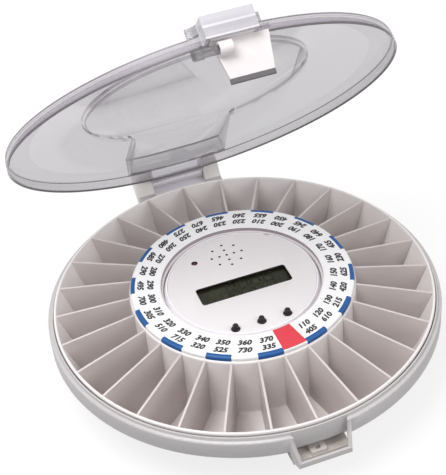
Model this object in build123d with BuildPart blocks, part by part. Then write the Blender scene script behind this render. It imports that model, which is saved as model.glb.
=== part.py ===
from build123d import *
import os
from math import acos, atan2, cos, degrees, hypot, pi, radians, sin, sqrt, tan

# Automatic pill dispenser: a round case whose 28-compartment tray is turned by a geared motor
# in the centre drum, under a clear hinged lid that shows one compartment through an aperture.
# Millimetres. +Z is up, the origin is the centre of the case's underside, on the tray's axis.
# The latch is at the front (-Y) and the hinge at the rear (+Y). The lid stands part open.

# ---------------------------------------------------------------- driving dimensions
# Running gaps and fits
RUN_GAP = 0.3            # between a moving piece and what it runs beside
SHAFT_GAP = 0.05         # radial clearance of a shaft in its hole
SCREW_GAP = 0.1          # radial clearance of a screw in its hole
HEAD_R = 2.4             # screw heads, sunk in the underside
SUNK_HEAD_H = 0.9
HEAD_SINK = 1.0
SCREW_L = 7.0            # screws of the cover and of the gear bracket
BRACKET_HEAD_H = 1.5

# Tray
COMPARTMENTS = 28
TRAY_RIM_Z = 36.0        # top of the outer wall
TROUGH_W = 35.9          # from the hub wall to the outer wall, at the top
TRAY_WALL = 1.5
TRAY_DRAFT = 19.0        # degrees that the outer wall leans in
TRAY_COVE_R = 18.0       # round between floor and outer wall
TRAY_FLOOR_Z = 9.0       # upper face of the floor
DIVIDER_T = 1.2
HUB_GAP = 5.1            # between the drum and the hub wall
HUB_WALL = 1.5
HUB_DECK_Z = 41.4        # top of the deck that carries the dosage ring
HUB_DECK_T = 1.6

# Dosage ring
RING_SET_IN = 0.8        # from the tray's hub wall in to the ring's edge
RING_INNER_R = 39.1
RING_T = 2.2
RING_LIP_R = 1.0         # rounded outer edge

# Drive: the tray's internal gear and the pinion inside it
TRAY_MODULE = 0.75
TRAY_TEETH_PER_COMPARTMENT = 4
PINION_TEETH = 16
PINION_ANGLE = 50.0      # where the pinion stands around the axis
TRAY_GEAR_FACE = 4.6
GEAR_RIM = 2.4           # material outside the internal teeth
PRESSURE_ANGLE = 20.0
BACKLASH = 0.12
TRAIN_MODULE = 0.5
DRIVE_TEETH = 36
SMALL_TEETH = 10
LARGE_TEETH = 36
MOTOR_TEETH = 10
MOTOR_X = 2.0
MOTOR_Y = 31.0
MOTOR_R = 10.0
MOTOR_H = 18.0
MOTOR_SHAFT_R = 1.0
DRIVE_SHAFT_R = 1.5
AXLE_R = 1.0
CAM_LOBES = 4            # one for each compartment in a turn of the pinion
CAM_R = 5.4
CAM_NOTCH = 0.8
BRACKET_PAD_R = 4.5

# Case
WALL = 1.8
BOWL_SET_IN = 3.5        # from the rim in to the bowl's top edge
BOWL_RUN = 23.5          # from the bowl's top edge in to the flat underside
BOWL_TOP_Z = 24.0
BOWL_ARC_R = 40.0
COVER_SET_IN = 2.3       # from the drum in to the edge of the cover
GLIDE_SET_IN = 6.0       # from the edge of the flat in to the glides
GLIDE_RING_W = 6.0
GLIDE_COUNT = 8
GLIDE_R = 2.4
GLIDE_T = 1.8
FOOT_COUNT = 4
FOOT_SET_IN = 10.0       # from the edge of the flat in to a foot's middle
FOOT_R = 7.0
FOOT_T = 2.0

# Rim band with latch pocket and hinge ears
RIM_GAP = 0.4            # between the tray and the rim
RIM_TOP_Z = 32.6         # ledge under the edge of the lid
RIM_LIP_Z = 34.3         # raised lip inside the ledge
RIM_LIP_T = 0.7
RIM_LEDGE_W = 1.9        # ledge outside the lip
RIM_SKIRT_T = 2.2
RIM_ROUND = 1.2
RIM_FOOT_T = 1.6
POCKET_REAR_HALF = 14.8
POCKET_FRONT_HALF = 12.5
POCKET_REACH = 4.4       # out from the rim
POCKET_WALL = 1.8
POCKET_LIP_T = 1.3
POCKET_LIP_TOP_Z = 20.6
POCKET_LIP_H = 2.8
KEEPER_SIZE = 7.5
KEEPER_X = -1.0
KEEPER_SET_IN = 0.2      # from the rim in to the tab's front edge
KEEPER_TOP_Z = 20.0
KEEPER_H = 3.5
KEEPER_HOLE_R = 1.35
KEEPER_PLATE_T = 1.5     # plate at its foot, which closes the pocket behind the tongue
KEEPER_PLATE_HALF = 13.6
KEEPER_PLATE_GAP = 0.5   # between the plate and the tongue
KEEPER_HOLE_IN = 2.6     # from the tab's front edge in to its hole
HINGE_REACH = 9.5        # out from the rim
HINGE_Z = 35.8
EAR_INNER_X = 14.5
EAR_OUTER_X = 23.3
EAR_R = 5.1
PIN_R = 1.25
HINGE_COVER_LOW_Z = 25.5 # strip that closes the space below the knuckle
HINGE_COVER_REACH = 2.5  # behind the hinge axis
HINGE_COVER_GAP = 0.1    # to the band and the ears

# Centre drum
DRUM_R = 48.0
DRUM_DECK_Z = 34.0
DRUM_FLANGE_W = 4.0
DRUM_FLANGE_T = 2.0
NECK_R = 37.8
NECK_TOP_Z = 42.2
NECK_TOP_R = 36.6        # its outer edge slopes in to this at the top
NECK_SLOPE_H = 2.4
POST_R = 2.6

# Control face and what is under it
FACE_R = 36.0
FACE_TOP_Z = 42.2
FACE_T = 2.0
FACE_TAB = 1.8           # how far the neck's tabs reach in under the face
FACE_TAB_W = 6.0
FACE_TAB_ANGLES = (0, 90, 135, 180, 225, 270, 315)
LCD_X = 0.0
LCD_Y = -2.8
LCD_W = 45.8
LCD_H = 12.2
LCD_CORNER_R = 1.5
LCD_LAP = 0.8            # how far the window laps behind the opening
WINDOW_T = 0.8
WINDOW_SINK = 0.4        # how far the window lies below the face
PANEL_MARGIN = 1.8
PANEL_T = 2.0
BUTTON_X = -1.5          # the middle button
BUTTON_Y = -30.0
BUTTON_PITCH = 12.9
BUTTON_R = 1.85
BUTTON_PROUD = 2.4
BUTTON_FLANGE_R = 2.6
BUTTON_FLANGE_T = 0.7
BUTTON_STROKE = 0.7
DOME_R = 2.25            # key switches under the buttons
DOME_H = 1.8
GRILLE_X = 0.0
GRILLE_Y = 21.4
GRILLE_HOLE_R = 0.65
GRILLE_INNER_R = 3.8
GRILLE_OUTER_R = 7.85
LED_X = -16.7
LED_Y = 21.9
LED_R = 1.5
SOUNDER_R = 10.5
SOUNDER_T = 3.2
BOARD_R = 35.7
BOARD_T = 1.6
BOARD_STANDOFF = 0.8

# Batteries: four AA cells, two high and two wide, lying along X
CELL_R = 7.1
CELL_L = 49.2
CELL_NUB_R = 2.6
CELL_NUB_L = 1.0
CELL_GAP = 0.3
BOX_WALL = 1.2
BOX_REAR_Y = -5.0
DOOR_T = 1.5
DOOR_GAP = 0.2
DOOR_RIB_L = 16.0        # finger ribs
DOOR_RIB_W = 0.9
DOOR_RIB_PITCH = 2.0
CONTACT_T = 0.6

# Lid
LID_OPEN_DEG = 51.0      # how far the lid stands open at rest
LID_RIM_Z = 32.8         # lower edge of the closed lid's skirt
LID_SET_IN = 0.8         # from the rim in to the edge of the lid
LID_T = 1.7
LID_SKIRT_H = 5.4
LID_CONE_H = 12.6        # height of the cone where it meets the raised middle
LID_TOP_H = 14.2         # height of the raised middle
LID_KEY_OUT = 0.8        # from the tray's hub wall out to the foot of the raised middle
LID_NECK_HALF = 26.2
LID_KEY_WALL = 1.2
LID_KEY_FILLET = 5.0
LID_KEY_DRAFT = 8.0
LID_ROUND = 1.5
LIP_SIDE_GAP = 0.35      # between the lid and the rim's lip
LIP_TOP_GAP = 0.2
APERTURE_SET_OUT = 4.4   # from the hub wall out to the aperture
APERTURE_SET_IN = 4.5    # from the tray's outer wall in to the aperture
APERTURE_MARGIN = 1.2    # degrees clear of the dividers beside it
KNUCKLE_R = 4.6
HOUSING_X = -3.6         # the housing stands to the left of the tongue's middle
HOUSING_HALF = 11.1
HOUSING_REACH = 7.8      # out from the edge of the lid
HOUSING_H = 9.6
HOUSING_FLARE_R = 4.5
TONGUE_T = 1.6
TONGUE_TOP_HALF = 12.1
TONGUE_TIP_HALF = 9.4
TONGUE_L = 16.5
TONGUE_SET_IN = 4.8      # from the housing's front face
STRIP_H = 2.0
BARREL_R = 1.9
BARREL_DROP = 4.4        # lock barrel's axis below the lid's rim plane
BARREL_LEFT_X = -21.7
BARREL_RIGHT_X = -5.5
KNOB_R = 2.4
KNOB_L = 4.6

# ---------------------------------------------------------------- worked-out places
STEP_ANGLE = 360 / COMPARTMENTS
HUB_R = DRUM_R + HUB_GAP + HUB_WALL
TRAY_INNER_R = HUB_R + TROUGH_W
TRAY_OUTER_R = TRAY_INNER_R + TRAY_WALL
HUB_INNER_R = HUB_R - HUB_WALL
DECK_UNDER_Z = HUB_DECK_Z - HUB_DECK_T
RING_OUTER_R = HUB_R - RING_SET_IN
RIM_INNER_R = TRAY_OUTER_R + RIM_GAP
RIM_LIP_R = RIM_INNER_R + RIM_LIP_T
RIM_R = RIM_LIP_R + RIM_LEDGE_W
POCKET_FRONT_Y = -(RIM_R + POCKET_REACH)
KEEPER_FRONT_Y = -(RIM_R - KEEPER_SET_IN)
KEEPER_HOLE_Y = KEEPER_FRONT_Y + KEEPER_HOLE_IN
HINGE_Y = RIM_R + HINGE_REACH
BOWL_TOP_R = RIM_R - BOWL_SET_IN
CASE_FLAT_R = BOWL_TOP_R - BOWL_RUN
GLIDE_RING_R = CASE_FLAT_R - GLIDE_SET_IN
FOOT_PLACE_R = CASE_FLAT_R - FOOT_SET_IN
DRUM_FLANGE_R = DRUM_R + DRUM_FLANGE_W
COVER_R = DRUM_R - COVER_SET_IN
TRAY_TEETH = COMPARTMENTS * TRAY_TEETH_PER_COMPARTMENT
TRAY_PITCH_R = TRAY_TEETH * TRAY_MODULE / 2
PINION_PITCH_R = PINION_TEETH * TRAY_MODULE / 2
PINION_PLACE_R = TRAY_PITCH_R - PINION_PITCH_R
PINION_X = PINION_PLACE_R * cos(radians(PINION_ANGLE))
PINION_Y = PINION_PLACE_R * sin(radians(PINION_ANGLE))
GEAR_Z = DECK_UNDER_Z - TRAY_GEAR_FACE
DRUM_INNER_R = DRUM_R - WALL
DRUM_UNDER_Z = DRUM_DECK_Z - WALL
FACE_UNDER_Z = FACE_TOP_Z - FACE_T
BOARD_Z = DRUM_DECK_Z + BOARD_STANDOFF
BOARD_TOP_Z = BOARD_Z + BOARD_T
NECK_INNER_R = FACE_R + 0.1
BRACKET_TOP_Z = WALL + 0.1 + MOTOR_H + WALL
BUTTON_PLACES = [(BUTTON_X + i * BUTTON_PITCH, BUTTON_Y) for i in (-1, 0, 1)]
COVER_POSTS = [(0.0, -41.5), (36.0, 14.0), (-36.0, 14.0)]
BRACKET_POSTS = [(-13.0, 26.0), (-12.0, 39.0), (23.0, 12.0)]
FLANGE_SCREW_R = (DRUM_R + DRUM_FLANGE_R) / 2
FLANGE_SCREWS = 6
LID_TOP_Z = LID_RIM_Z + LID_TOP_H
LID_R = RIM_R - LID_SET_IN
LID_KEY_R = HUB_R + LID_KEY_OUT
LID_REBATE_R = RIM_LIP_R + LIP_SIDE_GAP
LID_REBATE_H = RIM_LIP_Z - LID_RIM_Z + LIP_TOP_GAP
APERTURE_IN_R = HUB_R + APERTURE_SET_OUT
APERTURE_OUT_R = TRAY_INNER_R - APERTURE_SET_IN
HOUSING_FRONT_Y = -(LID_R + HOUSING_REACH)
TONGUE_FRONT_Y = HOUSING_FRONT_Y + TONGUE_SET_IN
HINGE_AXIS = Axis((0, HINGE_Y, HINGE_Z), (1, 0, 0))
TONGUE_BACK_Y = TONGUE_FRONT_Y + TONGUE_T
BARREL_Y = TONGUE_FRONT_Y - BARREL_R - 0.2
BARREL_Z = LID_RIM_Z - BARREL_DROP

os.makedirs("parts", exist_ok=True)


def save(piece, name):
    """Label a finished piece and write it as its own STEP file."""
    piece.label = name
    export_step(piece, f"parts/{name}.step")


def raised(piece):
    """Turn a piece of the closed lid about the hinge to where the lid stands at rest."""
    return piece.rotate(HINGE_AXIS, -LID_OPEN_DEG)


# ---------------------------------------------------------------- gear teeth
def involute(angle):
    """Involute function of an angle in radians."""
    return tan(angle) - angle


def gear_points(teeth, module, tip_r, root_r, play, first_tooth):
    """Outline of a spur gear, three points to a flank, first tooth at an angle in degrees."""
    pitch_r = teeth * module / 2
    base_r = pitch_r * cos(radians(PRESSURE_ANGLE))
    pitch_half = pi / (2 * teeth) - play / (2 * pitch_r) + involute(radians(PRESSURE_ANGLE))
    radii = [root_r, (max(root_r, base_r) + tip_r) / 2, tip_r]
    halves = [pitch_half - involute(acos(min(1.0, base_r / r))) for r in radii]
    points = []
    for tooth in range(teeth):
        middle = radians(first_tooth) + tooth * 2 * pi / teeth
        rising = [(r, middle - half) for r, half in zip(radii, halves)]
        falling = [(r, middle + half) for r, half in zip(radii[::-1], halves[::-1])]
        points += [(r * cos(a), r * sin(a)) for r, a in rising + falling]
    return points


def spur_gear(place, z_low, face, teeth, module, bore_r, first_tooth):
    """An external spur gear standing at a place, with a round bore."""
    pitch_r = teeth * module / 2
    outline = gear_points(teeth, module, pitch_r + module, pitch_r - 1.25 * module, BACKLASH, first_tooth)
    with BuildPart() as gear:
        with BuildSketch(Plane((place[0], place[1], z_low))):
            with BuildLine():
                Polyline(*outline, close=True)
            make_face()
            Circle(bore_r, mode=Mode.SUBTRACT)
        extrude(amount=face)
    return gear.part


def heading(start, end):
    """Direction in degrees from one place to another."""
    return degrees(atan2(end[1] - start[1], end[0] - start[0]))


# The reduction gear stands outboard of the line from pinion to motor, in mesh with both.
PINION = (PINION_X, PINION_Y)
MOTOR = (MOTOR_X, MOTOR_Y)
TO_DRIVE = TRAIN_MODULE * (DRIVE_TEETH + SMALL_TEETH) / 2
TO_MOTOR = TRAIN_MODULE * (LARGE_TEETH + MOTOR_TEETH) / 2
SPAN = hypot(MOTOR_X - PINION_X, MOTOR_Y - PINION_Y)
ALONG = (TO_DRIVE**2 - TO_MOTOR**2 + SPAN**2) / (2 * SPAN)
ASIDE = sqrt(TO_DRIVE**2 - ALONG**2)
UNIT = ((MOTOR_X - PINION_X) / SPAN, (MOTOR_Y - PINION_Y) / SPAN)
REDUCTION = (
    PINION_X + ALONG * UNIT[0] + ASIDE * UNIT[1],
    PINION_Y + ALONG * UNIT[1] - ASIDE * UNIT[0],
)
MOTOR_PINION_Z = BRACKET_TOP_Z + 0.4
LARGE_Z = MOTOR_PINION_Z + 0.4
LARGE_FACE = 2.0
SMALL_FACE = 4.2
DRIVE_GEAR_Z = LARGE_Z + LARGE_FACE + 0.9
DRIVE_GEAR_FACE = 2.2
CAM_Z = DRIVE_GEAR_Z + DRIVE_GEAR_FACE + 0.8
CAM_T = 1.6


# ---------------------------------------------------------------- case
def bowl_arc(offset):
    """Centre and radius of the bowl's round side, moved inwards by an offset."""
    run, rise = BOWL_TOP_R - CASE_FLAT_R, BOWL_TOP_Z
    half = hypot(run, rise) / 2
    reach = sqrt(BOWL_ARC_R**2 - half**2)
    centre_r = (CASE_FLAT_R + BOWL_TOP_R) / 2 - reach * rise / (2 * half)
    centre_z = BOWL_TOP_Z / 2 + reach * run / (2 * half)
    return centre_r, centre_z, BOWL_ARC_R - offset


def bowl_r(z, offset):
    """Radius of the bowl's side at a height, on the surface moved inwards by an offset."""
    centre_r, centre_z, arc_r = bowl_arc(offset)
    return centre_r + sqrt(arc_r**2 - (z - centre_z) ** 2)


with BuildPart() as base_bowl:
    with BuildSketch(Plane.XZ):
        with BuildLine():
            mid_z = BOWL_TOP_Z / 2
            Polyline((COVER_R + 0.3, WALL), (COVER_R + 0.3, 0), (CASE_FLAT_R, 0))
            ThreePointArc((CASE_FLAT_R, 0), (bowl_r(mid_z, 0), mid_z), (BOWL_TOP_R, BOWL_TOP_Z))
            inner_top = (bowl_r(BOWL_TOP_Z, WALL), BOWL_TOP_Z)
            inner_low = (bowl_r(WALL, WALL), WALL)
            Line((BOWL_TOP_R, BOWL_TOP_Z), inner_top)
            ThreePointArc(inner_top, (bowl_r(mid_z, WALL), mid_z), inner_low)
            Line(inner_low, (COVER_R + 0.3, WALL))
        make_face()
    revolve(axis=Axis.Z)
    # Raised ring that the tray's glides stand on
    glide_seat_z = TRAY_FLOOR_Z - TRAY_WALL - RUN_GAP - GLIDE_T
    with BuildSketch(Plane.XY.offset(WALL)):
        Circle(GLIDE_RING_R + GLIDE_RING_W / 2)
        Circle(GLIDE_RING_R - GLIDE_RING_W / 2, mode=Mode.SUBTRACT)
    extrude(amount=glide_seat_z - WALL)
    with PolarLocations(FLANGE_SCREW_R, FLANGE_SCREWS):
        Hole(1.2 + SCREW_GAP)
    with BuildSketch():
        with PolarLocations(FLANGE_SCREW_R, FLANGE_SCREWS):
            Circle(HEAD_R + SCREW_GAP)
    extrude(amount=HEAD_SINK, mode=Mode.SUBTRACT)
save(base_bowl.part, "base_bowl")

with BuildPart() as tray_glides:
    with BuildSketch(Plane.XY.offset(glide_seat_z)):
        with PolarLocations(GLIDE_RING_R, GLIDE_COUNT):
            Circle(GLIDE_R)
    extrude(amount=GLIDE_T)
save(tray_glides.part, "tray_glides")

with BuildPart() as rubber_feet:
    with BuildSketch(Plane.XY.offset(-FOOT_T)):
        with PolarLocations(FOOT_PLACE_R, FOOT_COUNT, start_angle=180 / FOOT_COUNT):
            Circle(FOOT_R)
    extrude(amount=FOOT_T)
    chamfer(rubber_feet.faces().sort_by(Axis.Z)[:FOOT_COUNT].edges(), 0.5)
save(rubber_feet.part, "rubber_feet")

# ---------------------------------------------------------------- rim band
POCKET_REAR_Y = -sqrt((RIM_R - RIM_SKIRT_T / 2) ** 2 - POCKET_REAR_HALF**2)
POCKET_TURN = degrees(atan2(POCKET_REAR_HALF - POCKET_FRONT_HALF, POCKET_REAR_Y - POCKET_FRONT_Y))
POCKET_LOW_Z = POCKET_LIP_TOP_Z - POCKET_LIP_H
with BuildPart() as rim_band:
    with BuildSketch(Plane.XZ):
        with BuildLine():
            skirt_in = RIM_R - RIM_SKIRT_T
            foot_in = bowl_r(BOWL_TOP_Z, WALL)
            Polyline(
                (RIM_R, BOWL_TOP_Z),
                (RIM_R, RIM_TOP_Z),
                (RIM_LIP_R + 0.2, RIM_TOP_Z),
                (RIM_LIP_R, RIM_LIP_Z),
                (RIM_INNER_R, RIM_LIP_Z),
                (RIM_INNER_R, RIM_TOP_Z - RIM_ROUND * 2),
                (skirt_in, RIM_TOP_Z - RIM_ROUND * 3),
                (skirt_in, BOWL_TOP_Z + RIM_FOOT_T),
                (foot_in, BOWL_TOP_Z + RIM_FOOT_T),
                (foot_in, BOWL_TOP_Z),
                close=True,
            )
        band_face = make_face()
        fillet(band_face.vertices().sort_by(Axis.X)[-2:].sort_by(Axis.Y)[-1], RIM_ROUND / 2)
    revolve(axis=Axis.Z)
    # Side walls of the latch pocket, sloping down to the front lip
    for side in (-1, 1):
        wall_plane = Plane(
            origin=(side * POCKET_REAR_HALF, POCKET_REAR_Y, 0),
            x_dir=(-side * sin(radians(POCKET_TURN)), -cos(radians(POCKET_TURN)), 0),
            z_dir=(-side * cos(radians(POCKET_TURN)), sin(radians(POCKET_TURN)), 0),
        )
        wall_run = (POCKET_REAR_Y - POCKET_FRONT_Y) / cos(radians(POCKET_TURN))
        rise = side
        with BuildSketch(wall_plane):
            with BuildLine():
                Polyline(
                    (0, rise * (BOWL_TOP_Z + 1)),
                    (0, rise * RIM_TOP_Z),
                    (RIM_SKIRT_T / 2, rise * RIM_TOP_Z),
                    (wall_run, rise * POCKET_LIP_TOP_Z),
                    (wall_run, rise * POCKET_LOW_Z),
                    (wall_run * 0.45, rise * (POCKET_LOW_Z + 1)),
                    close=True,
                )
            make_face()
        extrude(amount=POCKET_WALL)
    with BuildSketch(Plane.XY.offset(POCKET_LOW_Z)):
        with Locations((0, POCKET_FRONT_Y + POCKET_LIP_T / 2)):
            Rectangle(2 * POCKET_FRONT_HALF, POCKET_LIP_T)
    extrude(amount=POCKET_LIP_H)
    # Inside the pocket the band is cut back to the lip, so that the latch tongue can go down
    turn = radians(POCKET_TURN)
    side_x = POCKET_REAR_HALF - (POCKET_WALL - 0.05) * cos(turn)
    side_y = POCKET_REAR_Y + (POCKET_WALL - 0.05) * sin(turn)
    pocket_end = POCKET_FRONT_Y + POCKET_LIP_T - 0.05
    rear_x = side_x + 1.5 * tan(turn)
    front_x = side_x - (side_y - pocket_end) * tan(turn)
    with BuildSketch(Plane.XY.offset(POCKET_LOW_Z - 1)):
        with BuildLine():
            Polyline(
                (-rear_x, side_y + 1.5),
                (rear_x, side_y + 1.5),
                (front_x, pocket_end),
                (-front_x, pocket_end),
                close=True,
            )
        make_face()
        Circle(RIM_LIP_R, mode=Mode.SUBTRACT)
    extrude(amount=RIM_LIP_Z + 2 - POCKET_LOW_Z, mode=Mode.SUBTRACT)
    # Hinge ears
    ear_width = EAR_OUTER_X - EAR_INNER_X
    for ear_x in (-EAR_OUTER_X, EAR_INNER_X):
        with BuildSketch(Plane.YZ.offset(ear_x)):
            with BuildLine():
                Polyline(
                    (RIM_R - RIM_SKIRT_T, BOWL_TOP_Z + 1),
                    (RIM_R - RIM_SKIRT_T, RIM_TOP_Z - 0.2),
                    (RIM_R + 1, RIM_TOP_Z - 0.2),
                    (HINGE_Y - EAR_R * 0.8, HINGE_Z + EAR_R * 0.6),
                    (HINGE_Y, HINGE_Z),
                    (HINGE_Y + EAR_R * 0.8, HINGE_Z - EAR_R * 0.6),
                    (RIM_R + 3, BOWL_TOP_Z + 1),
                    close=True,
                )
            make_face()
            with Locations((HINGE_Y, HINGE_Z)):
                Circle(EAR_R)
                Circle(PIN_R + SHAFT_GAP, mode=Mode.SUBTRACT)
        extrude(amount=ear_width)
    # The ears reach into the band only as far as its skirt
    with BuildSketch(Plane.XY.offset(BOWL_TOP_Z + RIM_FOOT_T)):
        Circle(RIM_R - RIM_SKIRT_T)
    extrude(amount=RIM_TOP_Z - 3 * RIM_ROUND - BOWL_TOP_Z - RIM_FOOT_T, mode=Mode.SUBTRACT)
    with BuildSketch(Plane.XY.offset(RIM_TOP_Z - 3 * RIM_ROUND)):
        Circle(RIM_INNER_R)
    extrude(amount=12, mode=Mode.SUBTRACT)
save(rim_band.part, "rim_band")

with BuildPart() as keeper_post:
    keeper_rear = bowl_r(KEEPER_TOP_Z - KEEPER_H, 0) - KEEPER_SIZE / 2
    with BuildSketch(Plane.XY.offset(KEEPER_TOP_Z - KEEPER_H)):
        with Locations((KEEPER_X, (KEEPER_FRONT_Y - keeper_rear) / 2)):
            Rectangle(KEEPER_SIZE, -KEEPER_FRONT_Y - keeper_rear)
    extrude(amount=KEEPER_H)
    fillet(keeper_post.edges().filter_by(Axis.Z).sort_by(Axis.Y)[:2], 0.8)
    # Plate at its foot
    with BuildSketch(Plane.XY.offset(KEEPER_TOP_Z - KEEPER_H)):
        plate_front = -TONGUE_BACK_Y - KEEPER_PLATE_GAP
        with Locations((0, -(plate_front + keeper_rear) / 2)):
            Rectangle(2 * KEEPER_PLATE_HALF, plate_front - keeper_rear)
    extrude(amount=KEEPER_PLATE_T)
    # Its back is hollowed to sit on the round side of the bowl
    with BuildSketch(Plane.XZ):
        with BuildLine():
            low_z, high_z = KEEPER_TOP_Z - KEEPER_H - 1, KEEPER_TOP_Z + 1
            mid = (low_z + high_z) / 2
            Polyline((bowl_r(high_z, 0), high_z), (1, high_z), (1, low_z), (bowl_r(low_z, 0), low_z))
            ThreePointArc((bowl_r(low_z, 0), low_z), (bowl_r(mid, 0), mid), (bowl_r(high_z, 0), high_z))
        make_face()
    revolve(axis=Axis.Z, mode=Mode.SUBTRACT)
    with Locations((KEEPER_X, KEEPER_HOLE_Y, KEEPER_TOP_Z)):
        Hole(KEEPER_HOLE_R)
save(keeper_post.part, "keeper_post")

with BuildPart() as hinge_cover:
    with BuildSketch(Plane.XY.offset(HINGE_COVER_LOW_Z)):
        cover_rear = HINGE_Y + HINGE_COVER_REACH
        with Locations((0, (RIM_R - RIM_SKIRT_T + cover_rear) / 2)):
            Rectangle(2 * (EAR_INNER_X - HINGE_COVER_GAP), cover_rear - RIM_R + RIM_SKIRT_T)
        Circle(RIM_R + HINGE_COVER_GAP, mode=Mode.SUBTRACT)
    extrude(amount=HINGE_Z - KNUCKLE_R - RUN_GAP - HINGE_COVER_LOW_Z)
    fillet(hinge_cover.edges().filter_by(Axis.X).sort_by(Axis.Y)[-2:], 0.8)
save(hinge_cover.part, "hinge_cover")

with BuildPart() as hinge_pin:
    with BuildSketch(Plane.YZ.offset(-EAR_OUTER_X)):
        with Locations((HINGE_Y, HINGE_Z)):
            Circle(PIN_R)
    extrude(amount=2 * EAR_OUTER_X)
    chamfer(hinge_pin.edges().filter_by(GeomType.CIRCLE), 0.3)
save(hinge_pin.part, "hinge_pin")

# ---------------------------------------------------------------- underside: cover, door, batteries
BOX_IN_W = CELL_L + CELL_NUB_L + 2 * CONTACT_T + 0.6
BOX_IN_D = 4 * CELL_R + 3 * CELL_GAP
BOX_MID_Y = BOX_REAR_Y - BOX_WALL - BOX_IN_D / 2
with BuildPart() as bottom_cover:
    with BuildSketch():
        Circle(COVER_R)
        with Locations((0, BOX_MID_Y)):
            Rectangle(BOX_IN_W, BOX_IN_D, mode=Mode.SUBTRACT)
    extrude(amount=WALL)
    with Locations(*[(x, y, 0) for x, y in COVER_POSTS]):
        Hole(1.2 + SCREW_GAP)
    with BuildSketch():
        with Locations(*COVER_POSTS):
            Circle(HEAD_R + SCREW_GAP)
    extrude(amount=HEAD_SINK, mode=Mode.SUBTRACT)
save(bottom_cover.part, "bottom_cover")

with BuildPart() as battery_door:
    with BuildSketch():
        with Locations((0, BOX_MID_Y)):
            Rectangle(BOX_IN_W - 2 * DOOR_GAP, BOX_IN_D - 2 * DOOR_GAP)
    extrude(amount=DOOR_T)
    fillet(battery_door.edges().filter_by(Axis.Z), 1.0)
    # Finger ribs near the front edge
    for rib in range(4):
        with BuildSketch():
            with Locations((0, BOX_MID_Y - BOX_IN_D / 2 + (2 + rib) * DOOR_RIB_PITCH)):
                SlotOverall(DOOR_RIB_L, DOOR_RIB_W)
        extrude(amount=0.5, mode=Mode.SUBTRACT)
save(battery_door.part, "battery_door")

with BuildPart() as battery_box:
    with BuildSketch(Plane.XY.offset(WALL)):
        with Locations((0, BOX_MID_Y)):
            Rectangle(BOX_IN_W + 2 * BOX_WALL, BOX_IN_D + 2 * BOX_WALL)
            Rectangle(BOX_IN_W, BOX_IN_D, mode=Mode.SUBTRACT)
    extrude(amount=DRUM_UNDER_Z - WALL)
    with BuildSketch(Plane.XY.offset(DRUM_UNDER_Z - BOX_WALL)):
        with Locations((0, BOX_MID_Y)):
            Rectangle(BOX_IN_W, BOX_IN_D)
    extrude(amount=BOX_WALL)
save(battery_box.part, "battery_box")

CELL_ROWS = [BOX_MID_Y - CELL_R - CELL_GAP / 2, BOX_MID_Y + CELL_R + CELL_GAP / 2]
CELL_LOW_Z = DOOR_T + CELL_GAP + CELL_R
CELL_LEVELS = [CELL_LOW_Z, CELL_LOW_Z + 2 * CELL_R + CELL_GAP]
CELL_PLACES = [(y, z) for y in CELL_ROWS for z in CELL_LEVELS]
with BuildPart() as batteries:
    for number, (cell_y, cell_z) in enumerate(CELL_PLACES):
        way = 1 if number in (0, 3) else -1
        start_x = -way * (CELL_L + CELL_NUB_L) / 2
        with BuildSketch(Plane((start_x, cell_y, cell_z), x_dir=(0, way, 0), z_dir=(way, 0, 0))):
            Circle(CELL_R)
        extrude(amount=CELL_L)
        end_x = start_x + way * CELL_L
        with BuildSketch(Plane((end_x, cell_y, cell_z), x_dir=(0, way, 0), z_dir=(way, 0, 0))):
            Circle(CELL_NUB_R)
        extrude(amount=CELL_NUB_L)
save(batteries.part, "batteries")

with BuildPart() as battery_contacts:
    for side in (-1, 1):
        for cell_y, cell_z in CELL_PLACES:
            with BuildSketch(Plane.YZ.offset(side * (BOX_IN_W / 2 - CONTACT_T))):
                with Locations((cell_y, cell_z)):
                    Rectangle(CELL_R * 1.5, CELL_R * 1.3)
            extrude(amount=side * CONTACT_T)
save(battery_contacts.part, "battery_contacts")

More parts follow.
